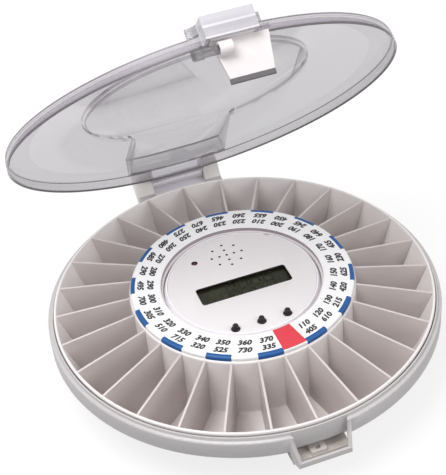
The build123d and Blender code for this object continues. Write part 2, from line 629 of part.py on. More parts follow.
# ---------------------------------------------------------------- centre drum
WINDOW_R = PINION_PITCH_R + TRAY_MODULE + 0.8
with BuildPart() as centre_drum:
    with BuildSketch(Plane.XZ):
        with BuildLine():
            Polyline(
                (0, DRUM_UNDER_Z),
                (DRUM_INNER_R, DRUM_UNDER_Z),
                (DRUM_INNER_R, WALL),
                (DRUM_FLANGE_R, WALL),
                (DRUM_FLANGE_R, WALL + DRUM_FLANGE_T),
                (DRUM_R, WALL + DRUM_FLANGE_T),
                (DRUM_R, DRUM_DECK_Z),
                (NECK_R, DRUM_DECK_Z),
                (NECK_R, NECK_TOP_Z - NECK_SLOPE_H),
                (NECK_TOP_R, NECK_TOP_Z),
                (NECK_INNER_R, NECK_TOP_Z),
                (NECK_INNER_R, DRUM_DECK_Z),
                (0, DRUM_DECK_Z),
                close=True,
            )
        make_face()
    revolve(axis=Axis.Z)
    # Tabs in the neck that carry the control face
    with BuildSketch(Plane.XY.offset(FACE_UNDER_Z - 1.6)):
        Circle(NECK_INNER_R + 0.5)
        Circle(NECK_INNER_R - FACE_TAB, mode=Mode.SUBTRACT)
        tab_blocks = Sketch() + [
            Rot(0, 0, angle) * Pos(NECK_INNER_R, 0) * Rectangle(8, FACE_TAB_W, mode=Mode.PRIVATE)
            for angle in FACE_TAB_ANGLES
        ]
        add(tab_blocks, mode=Mode.INTERSECT)
    extrude(amount=1.6)
    # Posts for the cover's and the gear bracket's screws, and standoffs for the board
    with BuildSketch(Plane.XY.offset(WALL)):
        with Locations(*COVER_POSTS):
            Circle(POST_R)
    extrude(amount=DRUM_DECK_Z - WALL - 0.1)
    with BuildSketch(Plane.XY.offset(BRACKET_TOP_Z)):
        with Locations(*BRACKET_POSTS):
            Circle(POST_R)
    extrude(amount=DRUM_DECK_Z - BRACKET_TOP_Z - 0.1)
    with BuildSketch(Plane.XY.offset(DRUM_DECK_Z)):
        with PolarLocations(BOARD_R - 4, 4, start_angle=0):
            Circle(2.4)
    extrude(amount=BOARD_STANDOFF)
    # Window in the neck where the pinion meets the tray's teeth, and the shaft's hole
    with BuildSketch(Plane.XY.offset(DRUM_DECK_Z)):
        with Locations(PINION):
            Circle(WINDOW_R)
    extrude(amount=GEAR_Z + TRAY_GEAR_FACE - DRUM_DECK_Z + 0.4, mode=Mode.SUBTRACT)
    with Locations((PINION_X, PINION_Y, DRUM_DECK_Z)):
        Hole(DRIVE_SHAFT_R + SHAFT_GAP)
    # Screw holes from below
    with BuildSketch(Plane.XY.offset(WALL)):
        with Locations(*COVER_POSTS):
            Circle(1.2 + SCREW_GAP)
    extrude(amount=8, mode=Mode.SUBTRACT)
    with BuildSketch(Plane.XY.offset(BRACKET_TOP_Z)):
        with Locations(*BRACKET_POSTS):
            Circle(1.2 + SCREW_GAP)
    extrude(amount=7, mode=Mode.SUBTRACT)
    with BuildSketch(Plane.XY.offset(WALL)):
        with PolarLocations(FLANGE_SCREW_R, FLANGE_SCREWS):
            Circle(1.2 + SCREW_GAP)
    extrude(amount=DRUM_FLANGE_T, mode=Mode.SUBTRACT)
save(centre_drum.part, "centre_drum")


def screws(places, z_seat, length, head_h, name):
    """Flat-head screws driven upwards, their heads under a face at z_seat."""
    with BuildPart() as group:
        with BuildSketch(Plane.XY.offset(z_seat)):
            with Locations(*places):
                Circle(1.2)
        extrude(amount=length)
        with BuildSketch(Plane.XY.offset(z_seat - head_h)):
            with Locations(*places):
                Circle(HEAD_R)
        extrude(amount=head_h)
        with BuildSketch(Plane.XY.offset(z_seat - head_h)):
            with Locations(*places):
                Rectangle(3.4, 0.6)
                Rectangle(0.6, 3.4)
        extrude(amount=head_h / 2, mode=Mode.SUBTRACT)
    save(group.part, name)


def around(radius, count, start):
    """Places spaced evenly on a circle about the axis."""
    angles = [radians(start + 360 * i / count) for i in range(count)]
    return [(radius * cos(a), radius * sin(a)) for a in angles]


flange_places = around(FLANGE_SCREW_R, FLANGE_SCREWS, 0)
screws(flange_places, HEAD_SINK, WALL + DRUM_FLANGE_T - HEAD_SINK, SUNK_HEAD_H, "drum_screws")
screws(COVER_POSTS, HEAD_SINK, SCREW_L, SUNK_HEAD_H, "cover_screws")
screws(BRACKET_POSTS, BRACKET_TOP_Z - WALL, SCREW_L, BRACKET_HEAD_H, "bracket_screws")

# ---------------------------------------------------------------- drive
with BuildPart() as gear_bracket:
    with BuildSketch(Plane.XY.offset(BRACKET_TOP_Z - WALL)):
        with Locations(*BRACKET_POSTS, PINION):
            Circle(BRACKET_PAD_R)
        make_hull()
        with Locations(*BRACKET_POSTS):
            Circle(1.2 + SCREW_GAP, mode=Mode.SUBTRACT)
        with Locations(PINION):
            Circle(DRIVE_SHAFT_R + SHAFT_GAP, mode=Mode.SUBTRACT)
        with Locations(REDUCTION):
            Circle(AXLE_R, mode=Mode.SUBTRACT)
        with Locations(MOTOR):
            Circle(MOTOR_SHAFT_R + 1.5, mode=Mode.SUBTRACT)
    extrude(amount=WALL)
save(gear_bracket.part, "gear_bracket")

with BuildPart() as motor_can:
    with BuildSketch(Plane.XY.offset(BRACKET_TOP_Z - WALL - MOTOR_H)):
        with Locations(MOTOR):
            Circle(MOTOR_R)
    extrude(amount=MOTOR_H)
    fillet(motor_can.edges().filter_by(GeomType.CIRCLE), 0.8)
    with Locations((MOTOR_X, MOTOR_Y, BRACKET_TOP_Z - WALL)):
        Hole(MOTOR_SHAFT_R + SHAFT_GAP, depth=MOTOR_H / 2)
save(motor_can.part, "motor_can")

with BuildPart() as motor_shaft:
    with BuildSketch(Plane.XY.offset(BRACKET_TOP_Z - WALL - MOTOR_H / 2 + 0.1)):
        with Locations(MOTOR):
            Circle(MOTOR_SHAFT_R)
    extrude(amount=MOTOR_H / 2 - 0.1 + WALL + 4.5)
save(motor_shaft.part, "motor_shaft")

to_reduction = heading(MOTOR, REDUCTION)
motor_pinion = spur_gear(
    MOTOR,
    MOTOR_PINION_Z,
    3.2,
    MOTOR_TEETH,
    TRAIN_MODULE,
    MOTOR_SHAFT_R,
    to_reduction,
)
save(motor_pinion, "motor_pinion")

large_wheel = spur_gear(
    REDUCTION,
    LARGE_Z,
    LARGE_FACE,
    LARGE_TEETH,
    TRAIN_MODULE,
    AXLE_R + SHAFT_GAP,
    to_reduction + 180 + 180 / LARGE_TEETH,
)
small_wheel = spur_gear(
    REDUCTION,
    LARGE_Z + LARGE_FACE,
    SMALL_FACE,
    SMALL_TEETH,
    TRAIN_MODULE,
    AXLE_R + SHAFT_GAP,
    heading(REDUCTION, PINION),
)
with BuildPart() as reduction_gear:
    add(large_wheel)
    add(small_wheel)
save(reduction_gear.part, "reduction_gear")

with BuildPart() as gear_axle:
    with BuildSketch(Plane.XY.offset(BRACKET_TOP_Z - WALL)):
        with Locations(REDUCTION):
            Circle(AXLE_R)
    extrude(amount=DRUM_UNDER_Z - BRACKET_TOP_Z + WALL)
save(gear_axle.part, "gear_axle")

with BuildPart() as drive_shaft:
    with BuildSketch(Plane.XY.offset(BRACKET_TOP_Z - WALL)):
        with Locations(PINION):
            Circle(DRIVE_SHAFT_R)
    extrude(amount=GEAR_Z + TRAY_GEAR_FACE - BRACKET_TOP_Z + WALL)
save(drive_shaft.part, "drive_shaft")

drive_gear = spur_gear(
    PINION,
    DRIVE_GEAR_Z,
    DRIVE_GEAR_FACE,
    DRIVE_TEETH,
    TRAIN_MODULE,
    DRIVE_SHAFT_R,
    heading(PINION, REDUCTION) + 180 / DRIVE_TEETH,
)
save(drive_gear, "drive_gear")

tray_pinion = spur_gear(
    PINION,
    GEAR_Z,
    TRAY_GEAR_FACE,
    PINION_TEETH,
    TRAY_MODULE,
    DRIVE_SHAFT_R,
    PINION_ANGLE,
)
save(tray_pinion, "tray_pinion")

SWITCH_ANGLE = PINION_ANGLE - 90
SWITCH_AWAY = CAM_R + 3.4
SWITCH_AT = (
    PINION_X + SWITCH_AWAY * cos(radians(SWITCH_ANGLE)),
    PINION_Y + SWITCH_AWAY * sin(radians(SWITCH_ANGLE)),
)
with BuildPart() as index_cam:
    with BuildSketch(Plane((PINION_X, PINION_Y, CAM_Z))):
        Circle(CAM_R)
        with PolarLocations(CAM_R + CAM_NOTCH, CAM_LOBES, start_angle=45):
            Circle(2 * CAM_NOTCH, mode=Mode.SUBTRACT)
        Circle(DRIVE_SHAFT_R, mode=Mode.SUBTRACT)
    extrude(amount=CAM_T)
save(index_cam.part, "index_cam")

with BuildPart() as index_switch:
    switch_low = CAM_Z - 0.4
    switch_x = (cos(radians(PINION_ANGLE)), sin(radians(PINION_ANGLE)), 0)
    with BuildSketch(Plane((SWITCH_AT[0], SWITCH_AT[1], switch_low), x_dir=switch_x)):
        Rectangle(9.0, 5.4)
    extrude(amount=DRUM_UNDER_Z - switch_low)
    with BuildSketch(Plane((SWITCH_AT[0], SWITCH_AT[1], CAM_Z), x_dir=switch_x)):
        with Locations((0, 2.7)):
            Rectangle(2.0, 0.8)
    extrude(amount=CAM_T)
save(index_switch.part, "index_switch")

# ---------------------------------------------------------------- tray
DRAFT = radians(TRAY_DRAFT)
COVE_Z = TRAY_FLOOR_Z + TRAY_COVE_R
COVE_DOWN = (TRAY_RIM_Z + TRAY_COVE_R * sin(DRAFT) - COVE_Z) / cos(DRAFT)
COVE_CENTRE_R = TRAY_INNER_R - TRAY_COVE_R * cos(DRAFT) - COVE_DOWN * sin(DRAFT)


def cove_point(radius, angle):
    """A point on the cove between floor (-90 degrees) and outer wall."""
    return COVE_CENTRE_R + radius * cos(radians(angle)), COVE_Z + radius * sin(radians(angle))


with BuildPart() as tray_floor:
    with BuildSketch(Plane.XY.offset(TRAY_FLOOR_Z - TRAY_WALL)):
        Circle(COVE_CENTRE_R)
        Circle(HUB_R, mode=Mode.SUBTRACT)
    extrude(amount=TRAY_WALL)
save(tray_floor.part, "tray_floor")

COVE_ANGLES = (-90, -(90 + TRAY_DRAFT) / 2, -TRAY_DRAFT)
with BuildPart() as tray_cove:
    with BuildSketch(Plane.XZ):
        with BuildLine():
            outer_r = TRAY_COVE_R + TRAY_WALL
            in_low, in_mid, in_top = [cove_point(TRAY_COVE_R, a) for a in COVE_ANGLES]
            out_low, out_mid, out_top = [cove_point(outer_r, a) for a in COVE_ANGLES]
            ThreePointArc(in_low, in_mid, in_top)
            Line(in_top, out_top)
            ThreePointArc(out_top, out_mid, out_low)
            Line(out_low, in_low)
        make_face()
    revolve(axis=Axis.Z)
save(tray_cove.part, "tray_cove")

with BuildPart() as tray_wall:
    with BuildSketch(Plane.XZ):
        with BuildLine():
            Polyline(in_top, (TRAY_INNER_R, TRAY_RIM_Z), (TRAY_OUTER_R, TRAY_RIM_Z), out_top, close=True)
        make_face()
    revolve(axis=Axis.Z)
save(tray_wall.part, "tray_wall")

DECK_BORE_R = NECK_R + RUN_GAP
with BuildPart() as tray_hub:
    with BuildSketch(Plane.XZ):
        with BuildLine():
            Polyline(
                (HUB_INNER_R, TRAY_FLOOR_Z - TRAY_WALL),
                (HUB_R, TRAY_FLOOR_Z - TRAY_WALL),
                (HUB_R, HUB_DECK_Z),
                (DECK_BORE_R, HUB_DECK_Z),
                (DECK_BORE_R, DECK_UNDER_Z),
                (HUB_INNER_R, DECK_UNDER_Z),
                close=True,
            )
        make_face()
    revolve(axis=Axis.Z)
save(tray_hub.part, "tray_hub")

with BuildPart() as tray_dividers:
    with BuildSketch(Plane.XZ.offset(-DIVIDER_T / 2)):
        with BuildLine():
            # Drawn in by a hair, so that the flat end stays inside the round wall
            hair = 0.005
            end_low, end_mid, end_top = [cove_point(TRAY_COVE_R - hair, a) for a in COVE_ANGLES]
            Polyline((HUB_R, TRAY_FLOOR_Z), (HUB_R, HUB_DECK_Z), (TRAY_INNER_R - hair, TRAY_RIM_Z))
            Line((TRAY_INNER_R - hair, TRAY_RIM_Z), end_top)
            ThreePointArc(end_top, end_mid, end_low)
            Line(end_low, (HUB_R, TRAY_FLOOR_Z))
        make_face()
    extrude(amount=DIVIDER_T)
    first_divider = tray_dividers.part
dividers = [first_divider.rotate(Axis.Z, -90 + i * STEP_ANGLE) for i in range(COMPARTMENTS)]
save(Compound(children=dividers), "tray_dividers")

with BuildPart() as ring_gear:
    with BuildSketch(Plane.XY.offset(GEAR_Z)):
        Circle(TRAY_PITCH_R + 1.25 * TRAY_MODULE + GEAR_RIM)
        with BuildLine():
            Polyline(
                *gear_points(
                    TRAY_TEETH,
                    TRAY_MODULE,
                    TRAY_PITCH_R + 1.25 * TRAY_MODULE,
                    TRAY_PITCH_R - TRAY_MODULE,
                    -BACKLASH,
                    PINION_ANGLE,
                ),
                close=True,
            )
        make_face(mode=Mode.SUBTRACT)
    extrude(amount=TRAY_GEAR_FACE)
save(ring_gear.part, "ring_gear")

with BuildPart() as dosage_ring:
    with BuildSketch(Plane.XY.offset(HUB_DECK_Z)):
        Circle(RING_OUTER_R)
        Circle(RING_INNER_R, mode=Mode.SUBTRACT)
    extrude(amount=RING_T)
    ring_top = dosage_ring.edges().filter_by(GeomType.CIRCLE).group_by(Axis.Z)[-1]
    fillet(ring_top.sort_by(SortBy.RADIUS)[-1], RING_LIP_R)
save(dosage_ring.part, "dosage_ring")

# ---------------------------------------------------------------- control face and electronics
grille_places = [(0, 0)] + around(GRILLE_INNER_R, 4, 0) + around(GRILLE_OUTER_R, 8, 0)
with BuildPart() as control_face:
    with BuildSketch(Plane.XY.offset(FACE_UNDER_Z)):
        Circle(FACE_R)
        with Locations((LCD_X, LCD_Y)):
            RectangleRounded(LCD_W, LCD_H, LCD_CORNER_R, mode=Mode.SUBTRACT)
        with Locations(*BUTTON_PLACES):
            Circle(BUTTON_R + RUN_GAP, mode=Mode.SUBTRACT)
        with Locations(*[(GRILLE_X + x, GRILLE_Y + y) for x, y in grille_places]):
            Circle(GRILLE_HOLE_R, mode=Mode.SUBTRACT)
        with Locations((LED_X, LED_Y)):
            Circle(LED_R + SCREW_GAP, mode=Mode.SUBTRACT)
    extrude(amount=FACE_T)
    # Seat for the window behind the opening
    with BuildSketch(Plane.XY.offset(FACE_UNDER_Z)):
        with Locations((LCD_X, LCD_Y)):
            Rectangle(LCD_W + 2 * LCD_LAP, LCD_H + 2 * LCD_LAP)
    extrude(amount=WINDOW_T, mode=Mode.SUBTRACT)
save(control_face.part, "control_face")

with BuildPart() as lcd_window:
    with BuildSketch(Plane.XY.offset(FACE_UNDER_Z)):
        with Locations((LCD_X, LCD_Y)):
            Rectangle(LCD_W + 2 * LCD_LAP - 0.2, LCD_H + 2 * LCD_LAP - 0.2)
    extrude(amount=WINDOW_T)
    with BuildSketch(Plane.XY.offset(FACE_UNDER_Z)):
        with Locations((LCD_X, LCD_Y)):
            RectangleRounded(LCD_W - 0.2, LCD_H - 0.2, LCD_CORNER_R - 0.1)
    extrude(amount=FACE_T - WINDOW_SINK)
save(lcd_window.part, "lcd_window")

with BuildPart() as lcd_panel:
    with BuildSketch(Plane.XY.offset(FACE_UNDER_Z - PANEL_T)):
        with Locations((LCD_X, LCD_Y)):
            Rectangle(LCD_W + 2 * PANEL_MARGIN, LCD_H + 2 * PANEL_MARGIN)
    extrude(amount=PANEL_T)
save(lcd_panel.part, "lcd_panel")

with BuildPart() as lcd_holder:
    with BuildSketch(Plane.XY.offset(BOARD_TOP_Z)):
        with Locations((LCD_X, LCD_Y)):
            Rectangle(LCD_W + 2 * PANEL_MARGIN + 2, LCD_H + 2 * PANEL_MARGIN + 2)
            Rectangle(LCD_W - 4, LCD_H - 2, mode=Mode.SUBTRACT)
    extrude(amount=FACE_UNDER_Z - PANEL_T - BOARD_TOP_Z)
save(lcd_holder.part, "lcd_holder")

with BuildPart() as control_board:
    with BuildSketch(Plane.XY.offset(BOARD_Z)):
        Circle(BOARD_R)
        with Locations(PINION):
            Circle(WINDOW_R + 1.5, mode=Mode.SUBTRACT)
    extrude(amount=BOARD_T)
save(control_board.part, "control_board")

with BuildPart() as controller_chip:
    with BuildSketch(Plane.XY.offset(BOARD_TOP_Z)):
        with Locations((0, (LCD_Y + BUTTON_Y) / 2 - 1)):
            Rectangle(9, 9)
    extrude(amount=1.2)
    chamfer(controller_chip.faces().sort_by(Axis.Z)[-1].edges(), 0.3)
save(controller_chip.part, "controller_chip")

with BuildPart() as key_switches:
    with BuildSketch(Plane.XY.offset(BOARD_TOP_Z)):
        with Locations(*BUTTON_PLACES):
            Circle(DOME_R)
    extrude(amount=DOME_H)
    with BuildSketch(Plane.XY.offset(BOARD_TOP_Z + DOME_H)):
        with Locations(*BUTTON_PLACES):
            Circle(1.6)
    extrude(amount=0.4)
save(key_switches.part, "key_switches")

with BuildPart() as sounder:
    with BuildSketch(Plane.XY.offset(FACE_UNDER_Z - SOUNDER_T)):
        with Locations((GRILLE_X, GRILLE_Y)):
            Circle(SOUNDER_R)
    extrude(amount=SOUNDER_T)
    with BuildSketch(Plane.XY.offset(FACE_UNDER_Z - 0.8)):
        with Locations((GRILLE_X, GRILLE_Y)):
            Circle(SOUNDER_R - 1.5)
    extrude(amount=0.8, mode=Mode.SUBTRACT)
save(sounder.part, "sounder")

with BuildPart() as alert_led:
    with BuildSketch(Plane.XY.offset(BOARD_TOP_Z)):
        with Locations((LED_X, LED_Y)):
            Circle(LED_R)
    extrude(amount=FACE_TOP_Z - BOARD_TOP_Z - 0.4)
    fillet(alert_led.edges().sort_by(Axis.Z)[-1], LED_R * 0.6)
save(alert_led.part, "alert_led")

button_names = ("button_left", "button_middle", "button_right")
for button_name, (button_x, button_y) in zip(button_names, BUTTON_PLACES):
    with BuildPart() as button:
        with BuildSketch(Plane((button_x, button_y, FACE_UNDER_Z))):
            Circle(BUTTON_R)
        extrude(amount=FACE_T + BUTTON_PROUD)
        fillet(button.edges().sort_by(Axis.Z)[-1], 0.6)
        with BuildSketch(Plane((button_x, button_y, FACE_UNDER_Z - BUTTON_FLANGE_T - 0.1))):
            Circle(BUTTON_FLANGE_R)
        extrude(amount=BUTTON_FLANGE_T)
        with BuildSketch(Plane((button_x, button_y, FACE_UNDER_Z - 0.1))):
            Circle(BUTTON_R)
        extrude(amount=0.1)
    save(button.part, button_name)

# ---------------------------------------------------------------- lid, modelled closed, then raised
def key_plan(grow):
    """The raised middle's plan: a circle with a neck running back to the hinge."""
    with BuildSketch() as plan:
        Circle(LID_KEY_R + grow)
        with Locations((0, LID_R / 2)):
            Rectangle(2 * (LID_NECK_HALF + grow), LID_R)
        corners = plan.vertices().filter_by_position(Axis.Y, LID_KEY_R / 2, LID_R - 5)
        fillet(corners, LID_KEY_FILLET)
    return plan.sketch


KEY_FOOT_Z = LID_RIM_Z + LID_SKIRT_H - LID_T
KEY_RISE = LID_TOP_Z - KEY_FOOT_Z
KEY_SPREAD = tan(radians(LID_KEY_DRAFT)) * (LID_RIM_Z + LID_CONE_H - KEY_FOOT_Z)
HOUSING_ROOT_Y = -(LID_R - LID_T)
with BuildPart() as lid_shell:
    with BuildSketch(Plane.XZ):
        with BuildLine():
            Polyline(
                (0, LID_RIM_Z),
                (LID_R, LID_RIM_Z),
                (LID_R - 0.3, LID_RIM_Z + LID_SKIRT_H),
                (LID_KEY_R, LID_RIM_Z + LID_CONE_H),
                (0, LID_RIM_Z + LID_CONE_H),
                close=True,
            )
        lid_face = make_face()
        fillet(lid_face.vertices().sort_by(Axis.X)[-2:].sort_by(Axis.Y)[-1], LID_ROUND)
    revolve(axis=Axis.Z)
    # Raised middle, cut off at the skirt
    with BuildSketch(Plane.XY.offset(KEY_FOOT_Z)):
        add(key_plan(KEY_SPREAD))
    extrude(amount=KEY_RISE, taper=LID_KEY_DRAFT)
    with BuildSketch(Plane.XY.offset(KEY_FOOT_Z)):
        Circle(LID_R + 20)
        Circle(LID_R - 0.6, mode=Mode.SUBTRACT)
    extrude(amount=KEY_RISE + 1, mode=Mode.SUBTRACT)
    # Latch housing
    with BuildSketch(Plane.XY.offset(LID_RIM_Z)):
        with BuildLine():
            left, right = HOUSING_X - HOUSING_HALF, HOUSING_X + HOUSING_HALF
            far_left, far_right = left - HOUSING_FLARE_R, right + HOUSING_FLARE_R
            root_y = -sqrt((LID_R - 0.3) ** 2 - max(-far_left, far_right) ** 2)
            neck_y = root_y - HOUSING_FLARE_R
            Polyline((left, neck_y), (left, HOUSING_FRONT_Y), (right, HOUSING_FRONT_Y), (right, neck_y))
            RadiusArc((right, neck_y), (far_right, root_y), HOUSING_FLARE_R)
            Polyline((far_right, root_y), (far_right, root_y + 2), (far_left, root_y + 2), (far_left, root_y))
            RadiusArc((far_left, root_y), (left, neck_y), HOUSING_FLARE_R)
        make_face()
    extrude(amount=HOUSING_H)
    # Hinge knuckle
    with BuildSketch(Plane.YZ.offset(-EAR_INNER_X + RUN_GAP)):
        with BuildLine():
            Polyline(
                (LID_R - 4, LID_RIM_Z + 0.2),
                (LID_R - 4, LID_RIM_Z + LID_SKIRT_H),
                (HINGE_Y, HINGE_Z + KNUCKLE_R),
                (HINGE_Y, HINGE_Z),
                (HINGE_Y - KNUCKLE_R * 0.8, LID_RIM_Z + 0.2),
                close=True,
            )
        make_face()
        with Locations((HINGE_Y, HINGE_Z)):
            Circle(KNUCKLE_R)
    extrude(amount=2 * (EAR_INNER_X - RUN_GAP))
    # Inside
    with BuildSketch(Plane.XZ):
        with BuildLine():
            skirt_in = LID_R - LID_T - 0.1
            Polyline(
                (0, LID_RIM_Z),
                (skirt_in, LID_RIM_Z),
                (skirt_in - 0.1, LID_RIM_Z + LID_SKIRT_H - LID_T),
                (LID_KEY_R, LID_RIM_Z + LID_CONE_H - LID_T),
                (0, LID_RIM_Z + LID_CONE_H - LID_T),
                close=True,
            )
        make_face()
    revolve(axis=Axis.Z, mode=Mode.SUBTRACT)
    with BuildSketch(Plane.XY.offset(KEY_FOOT_Z - 1)):
        add(key_plan(KEY_SPREAD - LID_KEY_WALL))
        Circle(LID_R - LID_T - 0.6, mode=Mode.INTERSECT)
    extrude(amount=KEY_RISE + 1 - LID_T, taper=LID_KEY_DRAFT, mode=Mode.SUBTRACT)
    # Aperture over one compartment
    with BuildSketch(Plane.XY.offset(LID_RIM_Z - 1)):
        with BuildLine():
            low_angle = -90 + APERTURE_MARGIN
            high_angle = -90 + STEP_ANGLE - APERTURE_MARGIN
            CenterArc((0, 0), APERTURE_IN_R, low_angle, high_angle - low_angle)
            CenterArc((0, 0), APERTURE_OUT_R, low_angle, high_angle - low_angle)
            for angle in (low_angle, high_angle):
                across = (cos(radians(angle)), sin(radians(angle)))
                start = (APERTURE_IN_R * across[0], APERTURE_IN_R * across[1])
                Line(start, (APERTURE_OUT_R * across[0], APERTURE_OUT_R * across[1]))
        make_face()
    extrude(amount=LID_TOP_H + 2, mode=Mode.SUBTRACT)
    # Inside of the latch housing
    with BuildSketch(Plane.XY.offset(LID_RIM_Z - 1)):
        cavity_front = HOUSING_FRONT_Y + LID_T
        cavity_rear = -LID_R - 0.2
        with Locations((HOUSING_X, (cavity_front + cavity_rear) / 2)):
            Rectangle(2 * (HOUSING_HALF - LID_T), cavity_rear - cavity_front)
    extrude(amount=HOUSING_H - LID_T + 1, mode=Mode.SUBTRACT)
    # Rebate that goes over the band's raised lip when the lid is shut
    with BuildSketch(Plane.XY.offset(LID_RIM_Z - 1)):
        Circle(LID_REBATE_R)
    extrude(amount=LID_REBATE_H + 1, mode=Mode.SUBTRACT)
    # Bore for the hinge pin
    with BuildSketch(Plane.YZ.offset(-EAR_INNER_X)):
        with Locations((HINGE_Y, HINGE_Z)):
            Circle(PIN_R + SHAFT_GAP)
    extrude(amount=2 * EAR_INNER_X, mode=Mode.SUBTRACT)
save(raised(lid_shell.part), "lid_shell")

with BuildPart() as latch_tongue:
    with BuildSketch(Plane.XZ.offset(-TONGUE_FRONT_Y)):
        with BuildLine():
            blade_top = LID_RIM_Z - 0.3
            blade_tip = LID_RIM_Z - TONGUE_L
            Polyline(
                (-TONGUE_TOP_HALF, blade_top),
                (TONGUE_TOP_HALF, blade_top),
                (TONGUE_TIP_HALF, blade_tip),
                (-TONGUE_TIP_HALF, blade_tip),
                close=True,
            )
        make_face()
    extrude(amount=-TONGUE_T)
    # Root, inside the lid's latch housing
    root_half = HOUSING_HALF - LID_T - RUN_GAP
    root_front = HOUSING_FRONT_Y + LID_T + RUN_GAP
    root_rear = -LID_R - 0.2 - RUN_GAP
    with BuildSketch(Plane.XY.offset(blade_top - 0.1)):
        with Locations((HOUSING_X, (root_front + root_rear) / 2)):
            Rectangle(2 * root_half, root_rear - root_front)
    extrude(amount=LID_RIM_Z + HOUSING_H - LID_T - blade_top + 0.1)
    # Boss that the lock barrel turns in
    boss_left, boss_right = BARREL_RIGHT_X - 5.0, BARREL_RIGHT_X + 0.6
    with BuildSketch(Plane.YZ.offset(boss_left)):
        with Locations((BARREL_Y, BARREL_Z)):
            Circle(BARREL_R + 1.1)
        with Locations(((BARREL_Y + TONGUE_FRONT_Y) / 2 + 0.2, BARREL_Z)):
            Rectangle(TONGUE_FRONT_Y - BARREL_Y + 0.4, 2 * BARREL_R + 2.2)
    extrude(amount=boss_right - boss_left)
    with BuildSketch(Plane.YZ.offset(boss_left)):
        with Locations((BARREL_Y, BARREL_Z)):
            Circle(BARREL_R + SHAFT_GAP)
    extrude(amount=BARREL_RIGHT_X - boss_left, mode=Mode.SUBTRACT)
save(raised(latch_tongue.part), "latch_tongue")

with BuildPart() as latch_strip:
    with BuildSketch(Plane.XZ.offset(-TONGUE_FRONT_Y)):
        with Locations((0, LID_RIM_Z - TONGUE_L - STRIP_H / 2)):
            Rectangle(2 * TONGUE_TIP_HALF, STRIP_H)
    extrude(amount=-TONGUE_T)
save(raised(latch_strip.part), "latch_strip")

with BuildPart() as lock_barrel:
    with BuildSketch(Plane.YZ.offset(BARREL_LEFT_X)):
        with Locations((BARREL_Y, BARREL_Z)):
            Circle(BARREL_R)
    extrude(amount=BARREL_RIGHT_X - SHAFT_GAP - BARREL_LEFT_X)
    with BuildSketch(Plane.YZ.offset(BARREL_LEFT_X)):
        with Locations((BARREL_Y, BARREL_Z)):
            Circle(KNOB_R)
    extrude(amount=KNOB_L)
    fillet(lock_barrel.edges().filter_by(GeomType.CIRCLE).sort_by(Axis.X)[0], 0.8)
    # Slot for a coin or key
    with BuildSketch(Plane.YZ.offset(BARREL_LEFT_X)):
        with Locations((BARREL_Y, BARREL_Z)):
            Rectangle(0.8, 3.2)
    extrude(amount=1.6, mode=Mode.SUBTRACT)
save(raised(lock_barrel.part), "lock_barrel")
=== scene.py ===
"""Automatic pill dispenser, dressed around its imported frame.

A round case carries a 28-compartment tray with a printed dose ring around a control face. A clear
hinged lid with a latch tongue and a quarter-turn lock stands part open over it. Sizes are in
millimetres in the classes and in metres in the scene.
"""

from __future__ import annotations

import logging
import math
from dataclasses import dataclass
from enum import Enum
from typing import Any, Callable, Iterable, Mapping, Sequence

import bpy
from mathutils import Matrix, Vector


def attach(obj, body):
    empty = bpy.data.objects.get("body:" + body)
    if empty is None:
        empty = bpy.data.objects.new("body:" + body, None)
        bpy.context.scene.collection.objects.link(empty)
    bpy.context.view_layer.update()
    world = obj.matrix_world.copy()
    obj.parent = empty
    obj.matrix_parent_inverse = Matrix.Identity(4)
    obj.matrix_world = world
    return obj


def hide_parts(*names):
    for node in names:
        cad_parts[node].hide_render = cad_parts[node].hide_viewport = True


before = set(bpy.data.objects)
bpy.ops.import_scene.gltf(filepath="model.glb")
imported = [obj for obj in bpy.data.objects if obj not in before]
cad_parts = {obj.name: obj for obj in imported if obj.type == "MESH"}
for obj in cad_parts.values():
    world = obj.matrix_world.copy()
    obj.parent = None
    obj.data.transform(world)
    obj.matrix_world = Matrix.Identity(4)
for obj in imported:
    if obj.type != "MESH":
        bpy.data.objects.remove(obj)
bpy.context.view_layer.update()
LOG = logging.getLogger("dispenser")
MM = 0.001
TURN = 2 * math.pi
HINGE_PIVOT = Vector((0, 104.5, 35.8))
LID_SHUT = Matrix.Rotation(math.radians(51.0), 3, "X")

Point = tuple[float, float]
Colour = tuple[float, float, float]


def srgb(red: int, green: int, blue: int) -> Colour:
    """Turn a display colour from 0 to 255 into the linear colour that shaders use."""
    channels = (red / 255, green / 255, blue / 255)
    return tuple(c / 12.92 if c <= 0.04045 else ((c + 0.055) / 1.055) ** 2.4 for c in channels)


